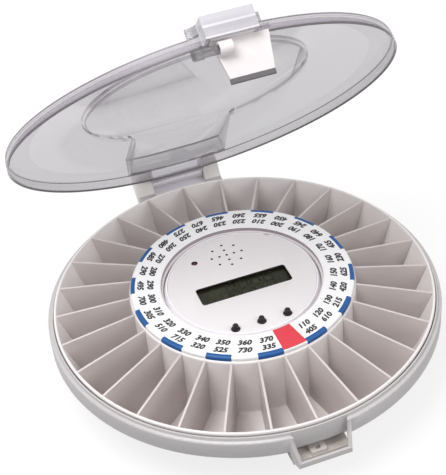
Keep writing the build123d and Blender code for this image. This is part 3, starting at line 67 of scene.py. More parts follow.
# ---------------------------------------------------------------- shader sums
class Wire:
    """A shader node's output, which adds Math nodes when it is used in sums."""

    def __init__(self, paint: "Paint", socket: bpy.types.NodeSocket) -> None:
        """Keep the socket and the paint that it belongs to."""
        self.paint = paint
        self.socket = socket

    def _sum(self, operation: str, first: Any, second: Any = 0.0) -> "Wire":
        """Add one Math node."""
        return self.paint.node("ShaderNodeMath", {"operation": operation}, [first, second])

    def __add__(self, other: Any) -> "Wire":
        """Sum."""
        return self._sum("ADD", self, other)

    __radd__ = __add__

    def __sub__(self, other: Any) -> "Wire":
        """Difference."""
        return self._sum("SUBTRACT", self, other)

    def __rsub__(self, other: Any) -> "Wire":
        """Difference the other way round."""
        return self._sum("SUBTRACT", other, self)

    def __mul__(self, other: Any) -> "Wire":
        """Product."""
        return self._sum("MULTIPLY", self, other)

    __rmul__ = __mul__

    def __truediv__(self, other: Any) -> "Wire":
        """Quotient."""
        return self._sum("DIVIDE", self, other)

    def __mod__(self, other: Any) -> "Wire":
        """Remainder that stays positive."""
        return self._sum("FLOORED_MODULO", self, other)

    def __pow__(self, other: Any) -> "Wire":
        """Power."""
        return self._sum("POWER", self, other)

    def __gt__(self, other: Any) -> "Wire":
        """One where this is greater."""
        return self._sum("GREATER_THAN", self, other)

    def __lt__(self, other: Any) -> "Wire":
        """One where this is less."""
        return self._sum("LESS_THAN", self, other)

    def lowest(self, other: Any) -> "Wire":
        """The smaller of the two."""
        return self._sum("MINIMUM", self, other)

    def highest(self, other: Any) -> "Wire":
        """The larger of the two."""
        return self._sum("MAXIMUM", self, other)

    def rounded(self) -> "Wire":
        """Cut down to a whole number."""
        return self._sum("FLOOR", self)


class Paint:
    """One material and the nodes in it."""

    def __init__(self, name: str) -> None:
        """Start an empty material."""
        self.material = bpy.data.materials.new(name)
        self.material.use_nodes = True
        self.tree = self.material.node_tree
        self.tree.nodes.clear()
        self.place = self.node("ShaderNodeTexCoord", output="Object")

    def node(
        self,
        kind: str,
        settings: Mapping[str, Any] | None = None,
        inputs: Sequence[Any] | Mapping[str, Any] | None = None,
        output: int | str = 0,
    ) -> Wire:
        """Add a node.

        Args:
            kind: the node's type.
            settings: its properties, set first; "stops" holds a ramp's positions and colours.
            inputs: values or wires for its inputs, by order or by name.
            output: which output to hand back.

        Returns:
            The wire from that output.
        """
        made = self.tree.nodes.new(kind)
        for key, value in (settings or {}).items():
            if key == "stops":
                ramp = made.color_ramp.elements
                while len(ramp) < len(value):
                    ramp.new(0.5)
                for stop, (position, colour) in zip(ramp, value):
                    stop.position = position
                    stop.color = (*colour, 1.0)
            else:
                setattr(made, key, value)
        pairs = inputs.items() if isinstance(inputs, Mapping) else enumerate(inputs or [])
        for key, value in pairs:
            if value is None:
                continue
            socket = made.inputs[key]
            if isinstance(value, Wire):
                self.tree.links.new(value.socket, socket)
            elif isinstance(value, tuple) and len(value) == 3 and socket.type == "RGBA":
                socket.default_value = (*value, 1.0)
            else:
                socket.default_value = value
        return Wire(self, made.outputs[output])

    def axes(self) -> tuple[Wire, Wire, Wire]:
        """The place on the object along X, Y and Z, in millimetres."""
        kind = "ShaderNodeSeparateXYZ"
        split = self.tree.nodes.new(kind)
        self.tree.links.new(self.place.socket, split.inputs[0])
        return tuple(Wire(self, split.outputs[i]) * 1000.0 for i in range(3))

    def steepness(self, axis: Vector) -> Wire:
        """How steep the surface stands to an axis: 0 where it faces along it, 1 across it."""
        normal = self.node("ShaderNodeTexCoord", output="Normal")
        facing = {"operation": "DOT_PRODUCT"}
        along = self.node("ShaderNodeVectorMath", facing, [normal, tuple(axis)], output="Value")
        return 1.0 - self.node("ShaderNodeMath", {"operation": "ABSOLUTE"}, [along])

    def noise(self, size_mm: float, detail: float = 2.0, stretch: Colour = (1, 1, 1)) -> Wire:
        """Soft noise with features of a size, from 0 to 1."""
        scaled = self.node("ShaderNodeMapping", {}, {"Vector": self.place, "Scale": stretch})
        spread = {"Vector": scaled, "Scale": 1.0 / (size_mm * MM), "Detail": detail}
        return self.node("ShaderNodeTexNoise", {}, spread)

    def blend(self, share: Any, first: Any, second: Any) -> Wire:
        """Mix two colours."""
        settings = {"data_type": "RGBA"}
        made = self.node("ShaderNodeMix", settings, {0: share, 6: first, 7: second}, output=2)
        return made

    def bump(self, height: Wire, depth_mm: float, strength: float = 1.0) -> Wire:
        """Turn a height from 0 to 1 into a surface normal."""
        wanted = {"Height": height, "Distance": depth_mm * MM, "Strength": strength}
        return self.node("ShaderNodeBump", {}, wanted, output="Normal")

    def surface(self, **values: Any) -> Wire:
        """Add a Principled shader; spaces in its socket names are written as underscores."""
        named = {key.replace("_", " "): value for key, value in values.items()}
        return self.node("ShaderNodeBsdfPrincipled", {}, named)

    def done(self, shader: Wire) -> bpy.types.Material:
        """Connect a shader to the output and hand the material back."""
        self.node_out = self.tree.nodes.new("ShaderNodeOutputMaterial")
        self.tree.links.new(shader.socket, self.node_out.inputs["Surface"])
        return self.material


# ---------------------------------------------------------------- finishes
@dataclass(frozen=True)
class MouldedPlastic:
    """Injection-moulded plastic with a fine spark-eroded grain.

    Args:
        colour: linear base colour.
        roughness: how matt it is.
        grain_mm: size of the grain.
        grain_depth_mm: depth of the grain.
        mottle: how much the colour varies from place to place.
        coat: clear gloss over the surface.
    """

    colour: Colour
    roughness: float = 0.42
    grain_mm: float = 0.55
    grain_depth_mm: float = 0.012
    mottle: float = 0.035
    coat: float = 0.0

    def paint(self, name: str) -> bpy.types.Material:
        """Make the material."""
        paint = Paint(name)
        broad = paint.noise(38.0, 3.0)
        fine = paint.noise(self.grain_mm, 3.0)
        darker = tuple(c * (1 - 2 * self.mottle) for c in self.colour)
        colour = paint.blend(broad, darker, self.colour)
        rough = (broad - 0.5) * 0.10 + (fine - 0.5) * 0.08 + self.roughness
        return paint.done(
            paint.surface(
                Base_Color=colour,
                Roughness=rough,
                Coat_Weight=self.coat,
                Coat_Roughness=0.12,
                Normal=paint.bump(fine, self.grain_depth_mm),
            )
        )


@dataclass(frozen=True)
class ClearPlastic:
    """Thin clear plastic: mostly see-through, with gloss and denser edges.

    Args:
        tint: linear colour of what it holds back.
        body: how much it holds back, seen square on.
        edge: how much more at a slant.
        roughness: how sharp its reflections are.
    """

    tint: Colour
    body: float = 0.10
    edge: float = 0.5
    roughness: float = 0.08

    def paint(self, name: str) -> bpy.types.Material:
        """Make the material."""
        paint = Paint(name)
        slant = paint.node("ShaderNodeLayerWeight", {}, {"Blend": 0.35}, output="Facing")
        haze = paint.noise(24.0, 2.0)
        hairlines = paint.noise(0.9, 2.0, stretch=(1.0, 0.06, 1.0))
        share = (slant**2.2) * self.edge + self.body + (haze - 0.5) * 0.03
        skin = paint.surface(
            Base_Color=self.tint,
            Roughness=(hairlines - 0.5) * 0.05 + self.roughness,
            IOR=1.49,
            Normal=paint.bump(haze, 0.02),
        )
        through = paint.node("ShaderNodeBsdfTransparent", {}, {"Color": (1.0, 1.0, 1.0)})
        share = share.highest(0.0).lowest(1.0)
        return paint.done(paint.node("ShaderNodeMixShader", {}, [share, through, skin]))


@dataclass(frozen=True)
class LidPlastic:
    """The lid's smoky clear plastic: pale where flat, denser in its walls, milky at its ends. The
    walls' darker colour and the dark lines at the raised middle's edge, the skirt's top and its lip
    are painted shade.

    Args:
        tint: linear colour of the flat parts.
        wall_shade_tint: linear colour of the steep walls, darker than the flat parts as painted
            shade.
        milk: linear colour of the hinge knuckle, lightened as painted light against the shade it
            lies in.
        box_milk: linear colour of the latch housing, darker than the knuckle's as painted shade.
        body: how much the flat parts hold back.
        wall: how much more the steep walls hold back.
        edge: how much more is held back at a slant.
        milk_from_mm: how far behind the lid's middle the milky part begins.
        box_from_mm: how far in front of it the latch housing begins.
        crisp_z_mm: above this height a wall is painted at its darkest, as a dark line of shade at
            the edge of the raised middle.
        skirt_z_mm: below this height lies the skirt, which is less glossy.
        lip_z_mm: below this height a wall is painted at its darkest too, as a dark line of shade at
            the skirt's lip.
        line_mm: width of the dark line of painted shade at the top of the skirt.
    """

    tint: Colour = srgb(168, 158, 172)
    wall_shade_tint: Colour = srgb(88, 84, 88)
    milk: Colour = srgb(246, 243, 249)
    box_milk: Colour = srgb(205, 203, 209)
    body: float = 0.29
    wall: float = 0.55
    edge: float = 0.34
    milk_from_mm: float = 95.0
    box_from_mm: float = -94.6
    crisp_z_mm: float = 46.0
    skirt_z_mm: float = 38.4
    lip_z_mm: float = 33.6
    line_mm: float = 1.0

    def paint(self, name: str) -> bpy.types.Material:
        """Make the material."""
        paint = Paint(name)
        shut = HINGE_PIVOT - LID_SHUT @ HINGE_PIVOT
        turn = {"Vector": paint.place, "Location": shut * MM, "Rotation": LID_SHUT.to_euler()}
        closed = paint.node("ShaderNodeMapping", {}, turn)
        along = paint.node("ShaderNodeSeparateXYZ", {}, [closed], output="Y") * 1000.0
        up = paint.node("ShaderNodeSeparateXYZ", {}, [closed], output="Z") * 1000.0
        steep = paint.steepness(LID_SHUT.inverted() @ Vector((0, 0, 1)))
        slant = paint.node("ShaderNodeLayerWeight", {}, {"Blend": 0.3}, output="Facing")
        haze = paint.noise(30.0, 2.0)
        pale = (along > self.milk_from_mm).highest(along < self.box_from_mm)
        low = up < self.skirt_z_mm
        lip = (up < self.lip_z_mm).highest(low * (up > self.skirt_z_mm - self.line_mm))
        # The steep walls hold back more, as light crosses more plastic there; their darker colour
        # and the dark lines at these heights are painted shade.
        shade_line = (up > self.crisp_z_mm).highest(lip)
        firm = shade_line * 0.55 - (low - lip) * 0.28 + 0.45
        dense_and_shaded = ((steep - 0.12) * 1.6).highest(0.0).lowest(1.0) * firm
        share = dense_and_shaded * self.wall + (slant**3.0) * self.edge + self.body + (haze - 0.5) * 0.02
        share = share + pale * 0.22
        colour = paint.blend(dense_and_shaded, self.tint, self.wall_shade_tint)
        # One milky plastic in two tones: the knuckle's lighter as painted light, the housing's
        # darker as painted shade.
        milk = paint.blend(along > self.milk_from_mm, self.box_milk, self.milk)
        skin = paint.surface(
            Base_Color=paint.blend(pale, colour, milk),
            Roughness=(haze - 0.5) * 0.04 + low * 0.33 + 0.07,
            IOR=1.55,
        )
        through = paint.node("ShaderNodeBsdfTransparent", {}, {"Color": (1.0, 1.0, 1.0)})
        share = share.highest(0.0).lowest(1.0)
        return paint.done(paint.node("ShaderNodeMixShader", {}, [share, through, skin]))


@dataclass(frozen=True)
class RimPlastic:
    """The rim band's plastic, cream on the hinge ears behind the rim.

    Args:
        colour: linear colour of the band.
        ears: linear colour of the hinge ears.
        ears_from_mm: how far behind the axis the ears begin.
    """

    colour: Colour
    ears: Colour
    ears_from_mm: float = 96.4

    def paint(self, name: str) -> bpy.types.Material:
        """Make the material."""
        paint = Paint(name)
        _, along, _ = paint.axes()
        broad, fine = paint.noise(38.0, 3.0), paint.noise(0.55, 3.0)
        darker = tuple(c * 0.93 for c in self.colour)
        band = paint.blend(broad, darker, self.colour)
        return paint.done(
            paint.surface(
                Base_Color=paint.blend(along > self.ears_from_mm, band, self.ears),
                Roughness=(broad - 0.5) * 0.1 + (fine - 0.5) * 0.08 + 0.36,
                Normal=paint.bump(fine, 0.012),
            )
        )


@dataclass(frozen=True)
class FacePlastic:
    """The control face's white plastic, with painted shade on the walls of its holes.

    Args:
        colour: linear colour of the face.
        hole: linear colour of the walls of its holes, a dark colour painted there as their shade.
        rim_mm: radius inside which the holes lie.
        top_mm: height under which a hole's wall is painted dark as shade.
    """

    colour: Colour
    hole: Colour = srgb(46, 40, 36)
    rim_mm: float = 33.0
    top_mm: float = 42.05

    def paint(self, name: str) -> bpy.types.Material:
        """Make the material."""
        paint = Paint(name)
        across, along, up = paint.axes()
        near = (across * across + along * along) ** 0.5 < self.rim_mm
        # Steep walls below the top inside the rim are the holes' walls; they get the painted shade.
        inside = near * (up < self.top_mm) * (paint.steepness(Vector((0, 0, 1))) > 0.7)
        broad, fine = paint.noise(30.0, 3.0), paint.noise(0.5, 3.0)
        darker = tuple(c * 0.95 for c in self.colour)
        skin = paint.blend(broad, darker, self.colour)
        return paint.done(
            paint.surface(
                Base_Color=paint.blend(inside, skin, self.hole),
                Roughness=(broad - 0.5) * 0.08 + (fine - 0.5) * 0.06 + 0.46,
                Normal=paint.bump(fine, 0.008),
            )
        )


@dataclass(frozen=True)
class DisplayCell:
    """The display's dark cell: olive in the middle, near black at its edges.

    Args:
        middle: linear colour of the middle.
        edge: linear colour of the edges.
        centre_mm: where its middle lies.
        half_mm: half its width and height.
    """

    middle: Colour = srgb(44, 50, 22)
    edge: Colour = srgb(20, 17, 8)
    centre_mm: Point = (0.0, -2.8)
    half_mm: Point = (22.9, 6.1)

    def paint(self, name: str) -> bpy.types.Material:
        """Make the material."""
        paint = Paint(name)
        across, along, _ = paint.axes()
        size = {"operation": "ABSOLUTE"}
        over = paint.node("ShaderNodeMath", size, [(across - self.centre_mm[0]) / self.half_mm[0]])
        down = paint.node("ShaderNodeMath", size, [(along - self.centre_mm[1]) / self.half_mm[1]])
        inside = (1.0 - over**6.0).highest(0.0) * (1.0 - down**3.0).highest(0.0)
        cloud = paint.noise(7.0, 2.0)
        return paint.done(
            paint.surface(
                Base_Color=paint.blend(inside * (cloud * 0.5 + 0.6), self.edge, self.middle),
                Roughness=(cloud - 0.5) * 0.05 + 0.25,
            )
        )


@dataclass(frozen=True)
class Metal:
    """Drawn or turned metal with fine lines along one axis."""

    colour: Colour
    roughness: float = 0.32
    line_mm: float = 0.3

    def paint(self, name: str) -> bpy.types.Material:
        """Make the material."""
        paint = Paint(name)
        lines = paint.noise(self.line_mm, 2.0, stretch=(0.08, 1.0, 1.0))
        patches = paint.noise(9.0, 2.0)
        darker = tuple(c * 0.82 for c in self.colour)
        return paint.done(
            paint.surface(
                Base_Color=paint.blend(patches, darker, self.colour),
                Metallic=1.0,
                Roughness=(lines - 0.5) * 0.14 + self.roughness,
                Normal=paint.bump(lines, 0.004),
            )
        )


@dataclass(frozen=True)
class Rubber:
    """Matt rubber with a dusty bloom."""

    colour: Colour

    def paint(self, name: str) -> bpy.types.Material:
        """Make the material."""
        paint = Paint(name)
        bloom = paint.noise(3.0, 4.0)
        dusty = tuple(c + 0.03 for c in self.colour)
        return paint.done(
            paint.surface(
                Base_Color=paint.blend(bloom, self.colour, dusty),
                Roughness=(bloom - 0.5) * 0.2 + 0.75,
                Normal=paint.bump(paint.noise(0.4, 3.0), 0.02),
            )
        )


@dataclass(frozen=True)
class DoseRingPrint:
    """The ring's print: one red sector, blue marks on alternate sectors, white between; its bore
    wall is painted grey as shade.

    Args:
        sectors: how many compartments there are.
        blue_from_mm: radius where the blue marks begin.
        red_in_mm: radius where the red sector begins.
        red_out_mm: radius where the red sector ends.
        bore_mm: radius inside which the ring's bore wall is painted grey as shade.
    """

    sectors: int = 28
    blue_from_mm: float = 51.6
    red_in_mm: float = 39.3
    red_out_mm: float = 53.3
    bore_mm: float = 39.6
    white: Colour = srgb(240, 239, 240)
    blue: Colour = srgb(16, 84, 150)
    red: Colour = srgb(214, 62, 74)
    # The bore wall's colour, painted grey as the shade on that wall.
    shade: Colour = srgb(164, 152, 160)

    def paint(self, name: str) -> bpy.types.Material:
        """Make the material."""
        paint = Paint(name)
        across, along, _ = paint.axes()
        radius = (across * across + along * along) ** 0.5
        angle = paint.node("ShaderNodeMath", {"operation": "ARCTAN2"}, [along, across])
        sector = ((angle / TURN + 0.25) * float(self.sectors)) % float(self.sectors)
        number = sector.rounded()
        odd = (number % 2.0) > 0.5
        blue = odd * (radius > self.blue_from_mm)
        red = (number < 0.5) * (radius > self.red_in_mm) * (radius < self.red_out_mm)
        ink = paint.noise(0.25, 3.0)
        card = paint.blend(paint.noise(20.0, 2.0), tuple(c * 0.96 for c in self.white), self.white)
        blue_ink = paint.blend(ink, tuple(c * 0.86 for c in self.blue), self.blue)
        red_ink = paint.blend(ink, tuple(c * 0.88 for c in self.red), self.red)
        colour = paint.blend(red, paint.blend(blue, card, blue_ink), red_ink)
        # Painted shade on the steep bore wall.
        bore = (radius < self.bore_mm) * (paint.steepness(Vector((0, 0, 1))) > 0.7)
        colour = paint.blend(bore, colour, self.shade)
        return paint.done(
            paint.surface(
                Base_Color=colour,
                Roughness=(ink - 0.5) * 0.06 + 0.46,
                Normal=paint.bump(ink, 0.006),
            )
        )


@dataclass(frozen=True)
class Ink:
    """Printed black ink with slightly uneven cover."""

    colour: Colour = srgb(20, 19, 24)

    def paint(self, name: str) -> bpy.types.Material:
        """Make the material."""
        paint = Paint(name)
        cover = paint.noise(0.3, 3.0)
        paler = tuple(c + 0.012 for c in self.colour)
        colour = paint.blend(cover, self.colour, paler)
        return paint.done(paint.surface(Base_Color=colour, Roughness=(cover - 0.5) * 0.1 + 0.5))


@dataclass(frozen=True)
class CircuitBoard:
    """Green solder mask with faint copper tracks under it."""

    mask: Colour = (0.012, 0.12, 0.045)
    copper: Colour = (0.03, 0.22, 0.07)

    def paint(self, name: str) -> bpy.types.Material:
        """Make the material."""
        paint = Paint(name)
        across, along, _ = paint.axes()
        tracks = ((across / 1.27) % 1.0 < 0.3) * (paint.noise(9.0, 0.0) > 0.5)
        others = ((along / 1.27) % 1.0 < 0.3) * (paint.noise(7.0, 0.0) < 0.42)
        lines = tracks.highest(others)
        return paint.done(
            paint.surface(
                Base_Color=paint.blend(lines, self.mask, self.copper),
                Roughness=lines * 0.08 + 0.3,
                Normal=paint.bump(lines, 0.03),
            )
        )


@dataclass(frozen=True)
class CellSleeve:
    """A battery's plain sleeve, with a copper-coloured collar at one end."""

    sleeve: Colour = (0.015, 0.015, 0.018)
    collar: Colour = (0.55, 0.26, 0.10)

    def paint(self, name: str) -> bpy.types.Material:
        """Make the material."""
        paint = Paint(name)
        across, _, _ = paint.axes()
        gold = across > 11.0
        scuff = paint.noise(2.0, 3.0)
        return paint.done(
            paint.surface(
                Base_Color=paint.blend(gold, self.sleeve, self.collar),
                Metallic=gold * 0.8,
                Roughness=(scuff - 0.5) * 0.12 + 0.3,
            )
        )


class Finish(Enum):
    """Every finish on the dispenser, with the record's slot that it dresses."""

    CASE = ("case_plastic", MouldedPlastic(srgb(189, 186, 188), roughness=0.38))
    TRAY = ("tray_plastic", MouldedPlastic(srgb(233, 227, 226), roughness=0.40, coat=0.1))
    # The dividers are the tray's plastic, painted darker as the shade on their faces.
    SHADED_DIVIDER = ("tray_plastic", MouldedPlastic(srgb(205, 196, 194), roughness=0.40, coat=0.1))
    BAND = ("case_plastic", RimPlastic(srgb(191, 187, 188), srgb(232, 228, 223)))
    CLEAR = ("clear_plastic", LidPlastic())
    MILKY = (
        "milky_plastic",
        MouldedPlastic(srgb(227, 221, 222), roughness=0.4, grain_depth_mm=0.004),
    )
    DARK = ("dark_strip", MouldedPlastic(srgb(92, 88, 92), roughness=0.5))
    RING = ("printed_ring", DoseRingPrint())
    FACE = ("face_plastic", FacePlastic(srgb(226, 222, 223)))
    COVER = ("case_plastic", MouldedPlastic(srgb(252, 249, 254), roughness=0.4))
    PIN = ("gear_plastic", MouldedPlastic(srgb(236, 233, 233), roughness=0.4))
    KEEPER = ("case_plastic", MouldedPlastic(srgb(200, 192, 186), roughness=0.45))
    ROD = ("clear_plastic", ClearPlastic(srgb(104, 100, 104), body=0.34, edge=0.7))
    KEY = ("black_key", MouldedPlastic(srgb(14, 14, 16), roughness=0.4))
    WINDOW = (
        "display_glass",
        ClearPlastic((0.01, 0.01, 0.008), body=0.05, edge=0.10, roughness=0.04),
    )
    CELL = ("display_cell", DisplayCell())
    DIGIT = ("display_cell", MouldedPlastic(srgb(10, 9, 3), roughness=0.3, grain_depth_mm=0.001))
    BLACK = ("display_frame", MouldedPlastic(srgb(30, 30, 32), roughness=0.5))
    BOARD = ("circuit_board", CircuitBoard())
    BRIGHT = ("key_dome", Metal((0.62, 0.61, 0.60)))
    SOUNDER = ("sounder_shell", MouldedPlastic(srgb(28, 28, 28), roughness=0.5))
    LAMP = ("lamp_lens", MouldedPlastic(srgb(74, 40, 32), roughness=0.25, coat=0.4))
    GEAR = ("gear_plastic", MouldedPlastic(srgb(228, 226, 220), roughness=0.45))
    STEEL = ("steel", Metal((0.58, 0.58, 0.60)))
    SLEEVE = ("battery_sleeve", CellSleeve())
    RUBBER = ("foot_rubber", Rubber((0.02, 0.02, 0.022)))
    INK = ("printed_ring", Ink())

    @property
    def slot(self) -> str:
        """The record's material slot."""
        return self.value[0]

    def material(self) -> bpy.types.Material:
        """This finish's material, made the first time it is asked for."""
        name = f"finish_{self.name.lower()}"
        found = bpy.data.materials.get(name)
        return found or self.value[1].paint(name)


# ---------------------------------------------------------------- hand tools
class Bench:
    """Tools that shape meshes as by hand."""

    @staticmethod
    def clear() -> None:
        """Leave edit mode and select nothing."""
        if bpy.context.object and bpy.context.object.mode != "OBJECT":
            bpy.ops.object.mode_set(mode="OBJECT")
        bpy.ops.object.select_all(action="DESELECT")

    @classmethod
    def pick(cls, *objects: bpy.types.Object) -> None:
        """Select these objects only, the first one active."""
        cls.clear()
        for item in objects:
            item.select_set(True)
        bpy.context.view_layer.objects.active = objects[0]

    @classmethod
    def outline(cls, name: str, points: Sequence[Vector], closed: bool = True) -> bpy.types.Object:
        """Draw a line through points by extruding one vertex.

        Args:
            name: the new object's name.
            points: where the line goes, in metres.
            closed: whether it returns to its start.

        Returns:
            The object, in edit mode, with everything selected.
        """
        cls.clear()
        bpy.ops.mesh.primitive_plane_add(size=0.001, location=(0, 0, 0))
        item = bpy.context.object
        item.name = name
        item.data.name = name
        bpy.ops.object.mode_set(mode="EDIT")
        bpy.ops.mesh.select_all(action="SELECT")
        bpy.ops.mesh.merge(type="CENTER")
        bpy.ops.transform.translate(value=points[0])
        path = list(points[1:]) + ([points[0]] if closed else [])
        here = points[0]
        for there in path:
            step = {"value": there - here}
            bpy.ops.mesh.extrude_vertices_move(TRANSFORM_OT_translate=step)
            here = there
        bpy.ops.mesh.select_all(action="SELECT")
        bpy.ops.mesh.remove_doubles(threshold=1e-7)
        return item

    @classmethod
    def lathe(cls, name: str, section: Sequence[Point], steps: int = 192) -> bpy.types.Object:
        """Spin a closed section of (radius, height) points in millimetres about the Z axis."""
        item = cls.outline(name, [Vector((r * MM, 0, z * MM)) for r, z in section])
        bpy.ops.mesh.spin(steps=steps, angle=TURN, center=(0, 0, 0), axis=(0, 0, 1))
        bpy.ops.mesh.select_all(action="SELECT")
        bpy.ops.mesh.remove_doubles(threshold=1e-6)
        bpy.ops.mesh.normals_make_consistent(inside=False)
        cls.clear()
        return item

    @classmethod
    def prism(cls, name: str, points: Sequence[Vector], along: Vector) -> bpy.types.Object:
        """Fill an outline and extrude it.

        Args:
            name: the new object's name.
            points: the outline's corners, in metres.
            along: how far and which way it is extruded, in metres.

        Returns:
            The solid.
        """
        item = cls.outline(name, points)
        bpy.ops.mesh.edge_face_add()
        bpy.ops.mesh.extrude_region_move(TRANSFORM_OT_translate={"value": along})
        bpy.ops.mesh.select_all(action="SELECT")
        bpy.ops.mesh.normals_make_consistent(inside=False)
        cls.clear()
        return item

    @classmethod
    def rod(
        cls, name: str, section: Sequence[Point], base: Vector, axis: str, steps: int = 48
    ) -> bpy.types.Object:
        """Spin a closed section about an axis through a base point.

        Args:
            name: the new object's name.
            section: (radius, distance along the axis) points in millimetres.
            base: where the axis starts, in millimetres.
            axis: "X", "Y" or "Z".
            steps: how many steps go round.

        Returns:
            The turned piece.
        """
        item = cls.lathe(name, section, steps)
        turn = {
            "X": Matrix.Rotation(math.pi / 2, 4, "Y"),
            "Y": Matrix.Rotation(-math.pi / 2, 4, "X"),
        }
        item.matrix_world = Matrix.Translation(base * MM) @ turn.get(axis, Matrix.Identity(4))
        cls.settle(item)
        return item

    @classmethod
    def settle(cls, item: bpy.types.Object) -> None:
        """Put an object's place, turn and size into its mesh."""
        cls.pick(item)
        bpy.ops.object.transform_apply(location=True, rotation=True, scale=True)

    @classmethod
    def round_edges(
        cls, item: bpy.types.Object, width: float, segments: int = 2, over: float = 35.0
    ) -> None:
        """Round the edges that are sharper than an angle.

        Args:
            item: the object.
            width: the bevel's width in millimetres.
            segments: how many faces make the round.
            over: the smallest angle in degrees that is rounded.
        """
        cls.pick(item)
        bevel = item.modifiers.new("rounds", "BEVEL")
        bevel.width = width * MM
        bevel.segments = segments
        bevel.limit_method = "ANGLE"
        bevel.angle_limit = math.radians(over)
        bevel.miter_outer = "MITER_ARC"
        bpy.ops.object.modifier_apply(modifier=bevel.name)

    @classmethod
    def cut(cls, item: bpy.types.Object, cutter: bpy.types.Object) -> None:
        """Take a closed cutter away from an object, and throw the cutter away."""
        cls.pick(item)
        take = item.modifiers.new("cut", "BOOLEAN")
        take.operation = "DIFFERENCE"
        take.solver = "EXACT"
        take.object = cutter
        bpy.ops.object.modifier_apply(modifier=take.name)
        bpy.data.objects.remove(cutter)

    @classmethod
    def round_outside(
        cls, item: bpy.types.Object, width: float, kept: Callable[[Vector], bool]
    ) -> None:
        """Round only the sharp edges whose middle passes a test.

        Args:
            item: the object.
            width: the bevel's width in millimetres.
            kept: says whether an edge with this middle, in millimetres, is rounded.
        """
        cls.pick(item)
        bpy.ops.object.mode_set(mode="EDIT")
        bpy.ops.mesh.select_all(action="DESELECT")
        bpy.ops.mesh.select_mode(type="EDGE")
        bpy.ops.mesh.edges_select_sharp(sharpness=math.radians(50))
        bpy.ops.object.mode_set(mode="OBJECT")
        mesh = item.data
        for edge in mesh.edges:
            ends = [mesh.vertices[i].co for i in edge.vertices]
            edge.select = edge.select and kept((ends[0] + ends[1]) / 2 / MM)
        bpy.ops.object.mode_set(mode="EDIT")
        bpy.ops.mesh.bevel(offset=width * MM, segments=3, affect="EDGES")
        bpy.ops.mesh.select_mode(type="VERT")
        cls.clear()

    @classmethod
    def smooth(cls, item: bpy.types.Object, degrees: float = 30.0) -> None:
        """Shade smooth, but keep edges sharper than an angle."""
        cls.pick(item)
        bpy.ops.object.shade_smooth_by_angle(angle=math.radians(degrees))

    @classmethod
    def welded_copy(cls, node: str, name: str, planar: float = 0.5) -> bpy.types.Object:
        """Copy a frame node's mesh, merge its loose triangles and dissolve its flat faces.

        Args:
            node: the frame's node.
            name: the new object's name.
            planar: faces within this many degrees of each other become one.

        Returns:
            The copy.
        """
        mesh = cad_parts[node].data.copy()
        mesh.materials.clear()
        item = bpy.data.objects.new(name, mesh)
        bpy.context.scene.collection.objects.link(item)
        cls.pick(item)
        bpy.ops.object.mode_set(mode="EDIT")
        bpy.ops.mesh.select_all(action="SELECT")
        bpy.ops.mesh.remove_doubles(threshold=2e-6)
        bpy.ops.mesh.dissolve_limited(angle_limit=math.radians(planar))
        cls.clear()
        return item

    @classmethod
    def join(cls, name: str, items: Sequence[bpy.types.Object]) -> bpy.types.Object:
        """Join several objects into one."""
        cls.pick(*items)
        bpy.ops.object.join()
        whole = bpy.context.object
        whole.name = name
        whole.data.name = name
        return whole

    @classmethod
    def copy_around(cls, item: bpy.types.Object, angles: Iterable[float]) -> list[bpy.types.Object]:
        """Copy an object round the Z axis, each copy with its own mesh."""
        made = []
        for angle in angles:
            cls.pick(item)
            bpy.ops.object.duplicate(linked=False)
            twin = bpy.context.object
            twin.rotation_euler[2] = math.radians(angle)
            cls.settle(twin)
            made.append(twin)
        return made


def arc(centre: Point, radius: float, start: float, end: float, count: int) -> list[Point]:
    """Points along an arc, in millimetres and degrees."""
    angles = [math.radians(start + (end - start) * i / count) for i in range(count + 1)]
    return [(centre[0] + radius * math.cos(a), centre[1] + radius * math.sin(a)) for a in angles]


def eased(points: Sequence[tuple[float, float, float]], count: int = 5) -> list[Point]:
    """Round the corners of a closed outline.

    Args:
        points: (x, y, radius) at each corner.
        count: how many steps make each round.

    Returns:
        The outline with its corners rounded.
    """
    made: list[Point] = []
    total = len(points)
    for i, (x, y, radius) in enumerate(points):
        here = Vector((x, y))
        if radius <= 0:
            made.append((x, y))
            continue
        before = (Vector(points[i - 1][:2]) - here).normalized()
        after = (Vector(points[(i + 1) % total][:2]) - here).normalized()
        half = before.angle(after) / 2
        reach = radius / math.tan(half)
        centre = here + (before + after).normalized() * (radius / math.sin(half))
        first, last = here + before * reach - centre, here + after * reach - centre
        sweep = math.atan2(first.x * last.y - first.y * last.x, first.dot(last))
        begin = math.atan2(first.y, first.x)
        for j in range(count + 1):
            a = begin + sweep * j / count
            made.append((centre.x + radius * math.cos(a), centre.y + radius * math.sin(a)))
    return made


def fit(piece: bpy.types.Object, body: str, finish: Finish, *nodes: str) -> bpy.types.Object:
    """Dress a new piece and set it on its body.

    Args:
        piece: the new object.
        body: the frame's body that it moves with.
        finish: what it is made of.
        nodes: the frame's nodes that it stands for.

    Returns:
        The piece.
    """
    piece.data.materials.clear()
    piece.data.materials.append(finish.material())
    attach(piece, body)
    if nodes:
        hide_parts(*nodes)
    LOG.info("%s rides on %s, %d faces", piece.name, body, len(piece.data.polygons))
    return piece


def dress(finish: Finish, *nodes: str) -> None:
    """Give frame nodes a finish."""
    for name in nodes:
        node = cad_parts[name]
        node.data.materials.clear()
        node.data.materials.append(finish.material())
        LOG.info("%s is dressed as %s", name, finish.name)


